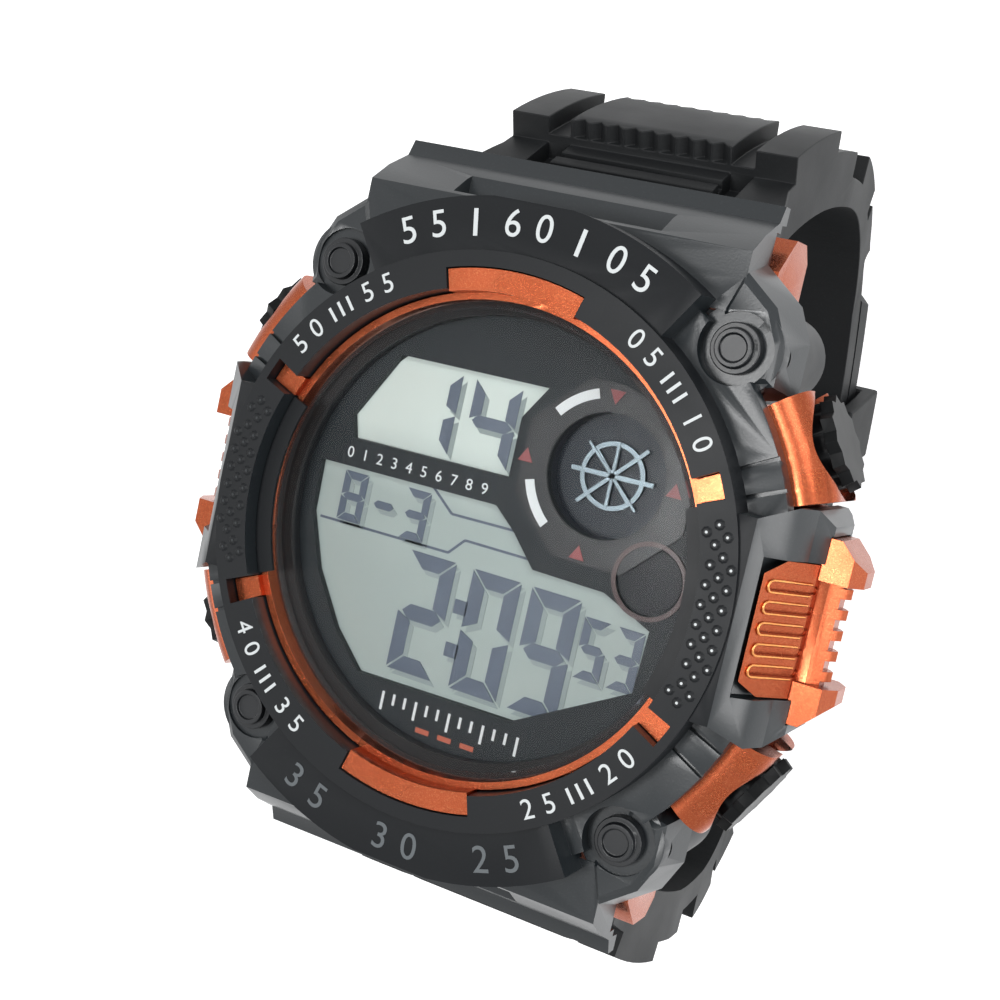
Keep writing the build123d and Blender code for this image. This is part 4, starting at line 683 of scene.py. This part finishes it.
class WATCH_OT_stage(bpy.types.Operator):
    """Floor, light and camera"""
    bl_idname = "watch.stage"
    bl_label = "Stage"

    def execute(self, context):
        scene = context.scene
        scene.view_settings.view_transform = "Standard"
        self.make_floor()
        self.make_world(scene)
        self.make_lamps()
        self.make_camera(scene)
        return {"FINISHED"}

    def seen_rays(self, tree):
        """1 for what the camera, a reflection or clear glass shows."""
        path = tree.nodes.new("ShaderNodeLightPath").outputs
        seen = math_node(tree, "ADD", path["Is Camera Ray"], path["Is Glossy Ray"], clamp=True)
        return math_node(tree, "ADD", seen, path["Is Transmission Ray"], clamp=True)

    def make_floor(self):
        floor_half, brightness = 900 * MM, 0.72
        bm = bmesh.new()
        bmesh.ops.create_grid(bm, x_segments=1, y_segments=1, size=floor_half)
        bmesh.ops.translate(bm, verts=bm.verts, vec=(0, 0, CAD_BOUNDS[0][2] - SWING_ROOM))
        floor = new_object("floor", bm)
        material, tree, shader = start_material("floor_white")
        glow = math_node(tree, "MULTIPLY", self.seen_rays(tree), brightness)
        fill_inputs(shader, Base_Color=(0.86, 0.87, 0.88, 1), Roughness=0.9, Specular_IOR_Level=0.0,
                    Emission_Color=(1, 1, 1, 1), Emission_Strength=glow)
        floor.data.materials.append(material)

    def make_world(self, scene):
        world = bpy.data.worlds.new("studio")
        scene.world = world
        world.use_nodes = True
        tree = world.node_tree
        light_given, light_shown = 0.13, 1.0
        strength = shade_range(tree, self.seen_rays(tree), 0.0, 1.0, light_given, light_shown)
        fill_inputs(tree.nodes["Background"], Color=(1, 1, 1, 1), Strength=strength)

    def make_lamps(self):
        """Soft boxes: (name, place, target, width, height, power)."""
        lamps = [
            ("streak_box", (-52, -12, 330), (20, 5, 10), 56, 64, 0.42),
            ("key_box", (120, 160, 280), (0, 0, 10), 150, 150, 0.42),
            ("right_box", (260, 0, 100), (10, 0, 0), 90, 220, 0.4),
            ("left_box", (-260, -60, 120), (0, 0, 0), 160, 160, 0.15),
        ]
        for name, place, target, width, height, power in lamps:
            data = bpy.data.lights.new(name, "AREA")
            data.shape = "RECTANGLE"
            data.size = width * MM
            data.size_y = height * MM
            data.energy = power
            lamp = new_object(name, data)
            back = (Vector(place) - Vector(target)).normalized()
            upright = Vector((0, 0, 1)) if abs(back.z) < 0.7 else Vector((0, 1, 0))
            level = upright.cross(back).normalized()
            turn = Matrix((level, back.cross(level), back)).transposed().to_4x4()
            lamp.matrix_world = Matrix.Translation(Vector(place) * MM) @ turn

    def make_camera(self, scene):
        place = Vector((50.52, 18.16, 121.03)) * MM
        aim = Vector((-1.21, 2.73, 8.0)) * MM
        roll = radians(-12.53)
        data = bpy.data.cameras.new("camera")
        data.sensor_fit = "HORIZONTAL"
        data.sensor_width = 36.0
        data.lens = 57.6
        data.clip_start = 0.005
        data.clip_end = 10.0
        camera = new_object("camera", data)
        forward = (aim - place).normalized()
        level = forward.cross(Vector((0, 1, 0))).normalized()
        upright = level.cross(forward)
        up = upright * cos(roll) + level * sin(roll)
        right = forward.cross(up)
        turn = Matrix((right, up, -forward)).transposed().to_4x4()
        camera.matrix_world = Matrix.Translation(place) @ turn
        scene.camera = camera


class WATCH_OT_bezel(bpy.types.Operator):
    """Bezel cover with its black ring and plates, figures and dotted strips"""
    bl_idname = "watch.bezel"
    bl_label = "Bezel"

    def execute(self, context):
        black_depth, plates_from = 2.6 * MM, 12 * MM

        def zone(face):
            """Resin, but black on the ring and on the 12 and 6 o'clock plates."""
            middle = face.calc_center_median()
            raised = middle.z > RING_TOP - black_depth
            return 1 if raised and (middle.xy.length < RING_OUTER or abs(middle.y) > plates_from) else 0

        rounded_copy("bezel_shell", "case", "bezel_resin", sizes().edge_round, "bezel_resin", "plate_ink",
                     choose=zone)
        self.print_figures()
        return {"FINISHED"}

    def print_figures(self):
        bm = bmesh.new()
        ring = RING_TOP + PRINT_LIFT
        plate = PLATE_TOP + PRINT_LIFT
        # Plain minute figures and ticks, on the ring and on the end plates; pitches and places in degrees
        ring_pitch, plate_pitch, tick_pitch, long_places = 5.2, 6.2, 2.4, (100.5, 79.5)
        short_tick, long_tick = (1.2 * MM, 0.24 * MM), (2.0 * MM, 0.34 * MM)
        for text, middle in (("05", 57), ("10", 37), ("55", 123), ("50", 143),
                             ("35", 237), ("40", 217), ("25", 303), ("20", 323)):
            arc_figures(bm, text, sizes().ring_figure, FIGURE_RADIUS, middle, ring_pitch, ring, middle < 180)
        for middle in (47, 133, 227, 313):
            ticks = [middle - tick_pitch, middle, middle + tick_pitch]
            arc_ticks(bm, FIGURE_RADIUS, *short_tick, ticks, ring)
        for text, middle in (("55", 111), ("60", 90), ("05", 69)):
            arc_figures(bm, text, sizes().plate_figure, UPPER_FIGURE_RADIUS, middle, plate_pitch, plate)
        arc_ticks(bm, UPPER_FIGURE_RADIUS, *long_tick, long_places, plate)
        finish_piece(bm, "ring_figures", "case", "dial_print", "white_print_and_highlight")
        bm = bmesh.new()
        for text, middle in (("35", 249), ("30", 270), ("25", 291)):
            arc_figures(bm, text, sizes().plate_figure, LOWER_FIGURE_RADIUS, middle, plate_pitch, plate,
                        outward=False)
        finish_piece(bm, "lower_plate_figures", "case", "dial_print", "figure_grey")
        self.stud_strips()

    def stud_strips(self):
        """Pebbled strips of the ring between the windows; the dots on the pebbles are pale on the right, as
        painted highlights.
        """
        level = RING_TOP + PRINT_LIFT
        first_x, column_pitch, row_pitch = 18.35, 1.55, 0.705
        strip_inner, strip_outer = 19.05 * MM, 21.0 * MM
        foot, crown, rise, dot = 0.43 * MM, 0.24 * MM, 0.12 * MM, 0.105 * MM
        pebble_middle, pebble_top = level + 0.04 * MM, level + 0.1 * MM
        pebbles, dots = bmesh.new(), {1: bmesh.new(), -1: bmesh.new()}
        for side in (1, -1):
            for row in range(-9, 10):
                y = row * row_pitch * MM
                for column in range(-1, 5):
                    x = (first_x + column_pitch * column + (column_pitch / 2 if row % 2 else 0)) * MM
                    if not strip_inner < Vector((x, y)).length < strip_outer:
                        continue
                    place = Matrix.Translation((side * x, y, pebble_middle))
                    bmesh.ops.create_cone(pebbles, cap_ends=True, segments=8, radius1=foot, radius2=crown,
                                          depth=rise, matrix=place)
                    disc(dots[side], (side * x, y), dot, pebble_top, PRINT_THICKNESS, steps=8)
        finish_piece(pebbles, "strip_pebbles", "case", "bezel_resin", "plate_ink")
        bm = bmesh.new()
        inner, outer, size, thick = 17.25 * MM, 18.6 * MM, 45.2, 0.3 * MM
        for middle in (0, 180):
            arc_plate(bm, inner, outer, middle - size / 2, size, LENS_TOP + PRINT_LIFT, thick, steps=24)
        finish_piece(bm, "strip_ledge", "case", "bezel_resin", "plate_ink")
        # Painted highlights: the right-hand dots are white, while the left-hand dots take the resin colour
        finish_piece(dots[1], "strip_dots_right_painted_highlight", "case", "dial_print", "white_print_and_highlight")
        finish_piece(dots[-1], "strip_dots_left", "case", "dial_print", "bezel_resin")


class WATCH_OT_case(bpy.types.Operator):
    """Plated case frame, case back and its screws"""
    bl_idname = "watch.case"
    bl_label = "Case"

    def execute(self, context):
        cavity_low, cavity_high, pad_spread = 4 * MM, LENS_TOP - 2.5 * MM, 0.25 * MM

        def zone(face):
            """Plated, but black round the pads under the bosses and down inside the cavity."""
            middle = face.calc_center_median()
            from_screw = Vector((abs(middle.x) - SCREW_PLACE[0], abs(middle.y) - SCREW_PLACE[1])).length
            cavity = middle.xy.length < LEDGE_RADIUS and cavity_low < middle.z < cavity_high
            return 1 if cavity or abs(from_screw - PAD_RADIUS) < pad_spread else 0

        rounded_copy("case_frame", "case", "copper_plate", sizes().fine_round, "copper_plating", "plate_ink",
                     choose=zone)
        rounded_copy("case_back", "case", "back_steel", sizes().fine_round, "steel")
        dress("back_screws", "bright_steel")
        dress("back_gasket", "seal_rubber")
        return {"FINISHED"}


class WATCH_OT_grips(bpy.types.Operator):
    """Ribbed side grips and the bezel screws"""
    bl_idname = "watch.grips"
    bl_label = "Grips and screws"

    def execute(self, context):
        for node in ("side_grip_right", "side_grip_left"):
            rounded_copy(node, "case", "copper_plate", sizes().fine_round, "copper_plating")
        self.slot_rims()
        rounded_copy("bezel_screws", "case", "screw_black", sizes().fine_round, "screw_black")
        return {"FINISHED"}

    def slot_rims(self):
        """Raised rims round the slots of the grips, open towards the outside of the watch, in a brighter
        copper that is a painted highlight.
        """
        face_drop, face_width, slot_pitch = 4.2, 2.6, 1.52 * MM
        slope = atan2(face_drop, face_width)
        face_x, face_y, face_depth = 22.5 * MM, -0.1 * MM, 1.6 * MM
        outer, inner, start, end, sunk = 0.52 * MM, 0.33 * MM, 1.0 * MM, 4.7 * MM, 0.05 * MM
        angles = [180 + 15 * step for step in range(13)]
        rim = [(-outer, end), *(polar(outer, angle, (0, start)) for angle in angles), (outer, end),
               (inner, end), *(polar(inner, angle, (0, start)) for angle in reversed(angles)), (-inner, end)]
        for side, name in ((1, "right"), (-1, "left")):
            bm = bmesh.new()
            for slot in range(-2, 3):
                points = [(x + slot * slot_pitch, y) for x, y in rim]
                outline_plate(bm, points, -sunk, sunk + sizes().rim_rise)
            across = Vector((0, -side, 0))
            down = Vector((side * cos(slope), 0, -sin(slope)))
            turn = Matrix((across, down, across.cross(down))).transposed().to_4x4()
            corner = Vector((side * face_x, face_y, RING_TOP - face_depth))
            bmesh.ops.transform(bm, matrix=Matrix.Translation(corner) @ turn, verts=bm.verts)
            # The rims take the brighter copper copy, a painted highlight
            rims = finish_piece(bm, f"grip_rims_{name}", "case", "copper_plate", "copper_painted_highlight")
            smooth(rims)
            round_edges(rims, radius=0.07 * MM, angle=40)


class WATCH_OT_crystal(bpy.types.Operator):
    """Crystal with its bevelled rim"""
    bl_idname = "watch.crystal"
    bl_label = "Crystal"

    def execute(self, context):
        radius = CRYSTAL_HIGH.x
        low, high = CRYSTAL_LOW.z, CRYSTAL_HIGH.z
        bevel = 0.55 * MM
        bm = bmesh.new()
        profile = [(0, low), (radius, low), (radius, high - bevel), (radius - bevel, high), (0, high)]
        verts = [bm.verts.new((x, 0, z)) for x, z in profile]
        edges = [bm.edges.new(pair) for pair in zip(verts, verts[1:])]
        bmesh.ops.spin(bm, geom=verts + edges, cent=(0, 0, 0), axis=(0, 0, 1), angle=2 * pi, steps=128,
                       use_merge=True, use_duplicate=False)
        bmesh.ops.remove_doubles(bm, verts=bm.verts, dist=0.0005 * MM)
        bmesh.ops.recalc_face_normals(bm, faces=bm.faces)
        for face in bm.faces:
            face.material_index = 1 if face.calc_center_median().xy.length > radius - bevel else 0
        crystal = finish_piece(bm, "crystal_shown", "case", "crystal_clear", "crystal_glass", "crystal_rim")
        smooth(crystal, angle=25.0)
        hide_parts("crystal")
        dress("crystal_gasket", "seal_rubber")
        return {"FINISHED"}


class WATCH_OT_dial(bpy.types.Operator):
    """Dial plate with its printing, the sunk sub-dial and its wheel"""
    bl_idname = "watch.dial"
    bl_label = "Dial"

    def execute(self, context):
        dress("dial_plate", "dial_grey")
        dress("subdial_cup", "dial_black")
        dress("subdial_wheel", "wheel_steel")
        self.subdial_trim()
        self.dial_marks()
        return {"FINISHED"}

    def subdial_trim(self):
        """Dark eight-sided frame round the sub-dial, the eye beside it and the wheel's long bars."""
        level = DIAL_TOP + PRINT_LIFT
        corner, notch, hole, reach = 7.4 * MM, 6.85 * MM, 4.75 * MM, 16.85 * MM
        bm = bmesh.new()
        for first in range(8):
            start = 22.5 + 45 * first
            outer = ((corner, start), (notch, start + 22.5), (corner, start + 45))
            points = [inside(polar(radius, angle, SUBDIAL_PLACE), reach) for radius, angle in outer]
            points += [polar(hole, start + 45 - 5 * step, SUBDIAL_PLACE) for step in range(10)]
            outline_plate(bm, points, level, FRAME_RISE)
        finish_piece(bm, "subdial_frame", "case", "dial_print", "dial_frame")
        eye_radius, eye_sunk, eye_thickness = 2.45 * MM, 0.2 * MM, 0.08 * MM
        rim_inner, rim_outer, trim_thickness = 2.6 * MM, 2.95 * MM, 0.06 * MM
        bm = bmesh.new()
        disc(bm, EYE_PLACE, eye_radius, DIAL_TOP - eye_sunk, eye_thickness, steps=40)
        finish_piece(bm, "dial_eye", "case", "dial_print", "eye_dark")
        bm = bmesh.new()
        for start in (0, 180):
            arc_plate(bm, rim_inner, rim_outer, start, 180, level + FRAME_RISE, trim_thickness, EYE_PLACE,
                      steps=20)
        finish_piece(bm, "eye_rim", "case", "dial_print", "eye_rim")
        bm = bmesh.new()
        wheel_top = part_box("subdial_wheel")[1].z + PRINT_LIFT
        for angle, half, width in ((1, 3.35, 0.36), (46, 3.45, 0.3), (-42, 3.2, 0.2), (90, 2.6, 0.2)):
            ends = [polar(half * MM, angle + turn, SUBDIAL_PLACE) for turn in (0, 180)]
            stroke_plate(bm, *ends, width * MM, wheel_top, trim_thickness)
        finish_piece(bm, "wheel_bars", "case", "wheel_steel", "wheel_steel")

    def dial_marks(self):
        """Marks round the sub-dial, plain figures on the band and ticks under the lower window."""
        raised = DIAL_TOP + PRINT_LIFT + FRAME_RISE + PRINT_LIFT
        bm = bmesh.new()
        reach = 0.72 * MM
        for x, y, turn in ((1.6, 6.9, 90), (7.7, 13.0, -90), (7.4, 0.8, 90), (13.7, 7.1, 90)):
            corners = [polar(reach, turn + step, (x * MM, y * MM)) for step in (0, 120, 240)]
            outline_plate(bm, corners, raised, PRINT_THICKNESS)
        finish_piece(bm, "dial_red_marks", "case", "dial_print", "figure_red")
        bm = bmesh.new()
        grey_arc, white_arc, grey_start, arc_size = (5.85 * MM, 6.6 * MM), (5.75 * MM, 6.5 * MM), 20, 34
        arc_plate(bm, *grey_arc, grey_start, arc_size, raised, PRINT_THICKNESS, SUBDIAL_PLACE)
        finish_piece(bm, "dial_grey_arc", "case", "dial_print", "figure_grey")
        bm = bmesh.new()
        for start in (108, 196):
            arc_plate(bm, *white_arc, start, arc_size, raised, PRINT_THICKNESS, SUBDIAL_PLACE)
        level = DIAL_TOP + PRINT_LIFT
        first_x, pitch, band_y = -13.4, 1.35, 3.62 * MM
        for index in range(10):
            place = ((first_x + pitch * index) * MM, band_y, level)
            add_figure(bm, str(index), sizes().dial_figure, place)
        tick_top, tick_half, long_tick, short_tick = -14.0 * MM, 0.11 * MM, 1.5 * MM, 0.9 * MM
        for index in range(13):
            length = short_tick if index % 3 else long_tick
            x = (index - 6) * MM
            box_plate(bm, x - tick_half, x + tick_half, tick_top - length, tick_top, level, PRINT_THICKNESS)
        finish_piece(bm, "dial_figures", "case", "dial_print", "white_print_and_highlight")
        bm = bmesh.new()
        mark_half, near, far = 0.6, -16.3 * MM, -15.9 * MM
        for x in (-2.0, 0.0, 2.0):
            left, right = (x - mark_half) * MM, (x + mark_half) * MM
            box_plate(bm, left, right, near, far, level, PRINT_THICKNESS)
        finish_piece(bm, "dial_orange_marks", "case", "dial_print", "figure_orange")


# Figures of the display, in millimetres: text, lower left corner, width, height, stroke, pitch
DISPLAY_FIGURES = (
    ("14", (-9.3, 5.3), 4.0, 6.4, 0.95, 5.2),
    ("8-3", (-13.8, -1.9), 2.2, 4.0, 0.62, 2.9),
    ("2", (-6.6, -12.2), 4.2, 9.6, 1.25, 5.2),
    (":", (-2.6, -12.2), 4.2, 9.6, 1.25, 3.0),
    ("09", (-0.9, -12.2), 4.2, 9.6, 1.25, 5.1),
    ("53", (8.9, -8.3), 2.2, 4.7, 0.7, 2.75),
)
# Lines that divide the display, in millimetres: start, end
DISPLAY_LINES = (
    ((-15.3, -2.1), (-3.4, -2.0)), ((-3.4, -2.0), (-2.2, -0.7)), ((-2.2, -0.7), (3.3, -0.7)),
    ((-5.9, 2.7), (-3.8, 1.0)), ((-3.8, 1.0), (1.9, 1.1)),
)


class WATCH_OT_display(bpy.types.Operator):
    """Display glass with its figures, their shadows and the dividing lines"""
    bl_idname = "watch.display"
    bl_label = "Display"

    def execute(self, context):
        dress("lcd_glass", "display_film")
        for piece_name, finish, lift, shift in (
                ("display_shadows", "segment_shadow", 1, (0.42 * MM, -0.38 * MM)),
                ("display_figures", "segment_dark", 4, (0, 0))):
            bm = bmesh.new()
            level = DISPLAY_TOP + lift * PRINT_LIFT
            for text, (x, y), *measures in DISPLAY_FIGURES:
                width, height, stroke, pitch = (measure * MM for measure in measures)
                add_segments(bm, text, (x * MM, y * MM), width, height, stroke, pitch, level, shift)
            finish_piece(bm, piece_name, "case", "display_film", finish)
        bm = bmesh.new()
        line_width, level = 0.2 * MM, DISPLAY_TOP + PRINT_LIFT
        for (x0, y0), (x1, y1) in DISPLAY_LINES:
            stroke_plate(bm, (x0 * MM, y0 * MM), (x1 * MM, y1 * MM), line_width, level, PRINT_THICKNESS)
        finish_piece(bm, "display_lines", "case", "display_film", "segment_dark")
        return {"FINISHED"}


class WATCH_OT_buttons(bpy.types.Operator):
    """Toothed push buttons with their seals, clips and springs"""
    bl_idname = "watch.buttons"
    bl_label = "Buttons"

    def execute(self, context):
        for place in BUTTONS:
            node = f"button_{place}"
            rounded_copy(node, node, "button_black", sizes().fine_round, "button_black")
            dress(f"button_seal_{place}", "seal_rubber")
            dress(f"button_clip_{place}", "bright_steel")
            dress(f"button_spring_{place}", "bright_steel")
        return {"FINISHED"}


class WATCH_OT_strap(bpy.types.Operator):
    """Strap halves and keeper"""
    bl_idname = "watch.strap"
    bl_label = "Strap"

    def execute(self, context):
        for node in ("strap_upper", "strap_lower", "strap_keeper"):
            rounded_copy(node, node, "strap_resin", sizes().strap_round, "strap_resin")
        return {"FINISHED"}


class WATCH_OT_buckle(bpy.types.Operator):
    """Buckle and the pins"""
    bl_idname = "watch.buckle"
    bl_label = "Buckle"

    def execute(self, context):
        for node in ("buckle_frame", "buckle_tongue"):
            rounded_copy(node, node, "buckle_steel", sizes().fine_round, "steel")
        for node in ("buckle_pin", "lug_pin_upper", "lug_pin_lower"):
            dress(node, "bright_steel")
        return {"FINISHED"}


class WATCH_OT_module(bpy.types.Operator):
    """Finishes of the module inside the case"""
    bl_idname = "watch.module"
    bl_label = "Module"

    def execute(self, context):
        finishes = {
            "light_panel": "light_guide", "contact_strips": "contact_rubber",
            "module_frame": "module_plastic", "circuit_board": "board_green",
            "processor_chip": "chip_black", "quartz_crystal": "bright_steel", "light_lamp": "lamp_amber",
            "coin_cell": "bright_steel", "cell_clamp": "steel", "buzzer": "brass",
        }
        for node, finish in finishes.items():
            dress(node, finish)
        return {"FINISHED"}


OPERATORS = (
    WATCH_OT_stage, WATCH_OT_bezel, WATCH_OT_case, WATCH_OT_grips, WATCH_OT_crystal, WATCH_OT_dial,
    WATCH_OT_display, WATCH_OT_buttons, WATCH_OT_strap, WATCH_OT_buckle, WATCH_OT_module,
)


class WATCH_PT_panel(bpy.types.Panel):
    """Sizes, colours and the pieces of the watch"""
    bl_idname = "WATCH_PT_panel"
    bl_label = "Digital watch"
    bl_space_type = "VIEW_3D"
    bl_region_type = "UI"
    bl_category = "Watch"

    def draw(self, context):
        for settings in (sizes(), colours()):
            for name in settings.bl_rna.properties.keys():
                if name not in ("rna_type", "name"):
                    self.layout.prop(settings, name)
        for operator in OPERATORS:
            self.layout.operator(operator.bl_idname)


CLASSES = (WatchSizes, WatchColours, *OPERATORS, WATCH_PT_panel)


def register():
    for cls in CLASSES:
        bpy.utils.register_class(cls)
    bpy.types.Scene.watch_sizes = bpy.props.PointerProperty(type=WatchSizes)
    bpy.types.Scene.watch_colours = bpy.props.PointerProperty(type=WatchColours)


def unregister():
    del bpy.types.Scene.watch_colours
    del bpy.types.Scene.watch_sizes
    for cls in reversed(CLASSES):
        bpy.utils.unregister_class(cls)


def main():
    register()
    for operator in OPERATORS:
        group, name = operator.bl_idname.split(".")
        getattr(getattr(bpy.ops, group), name)()


if __name__ == "__main__":
    main()
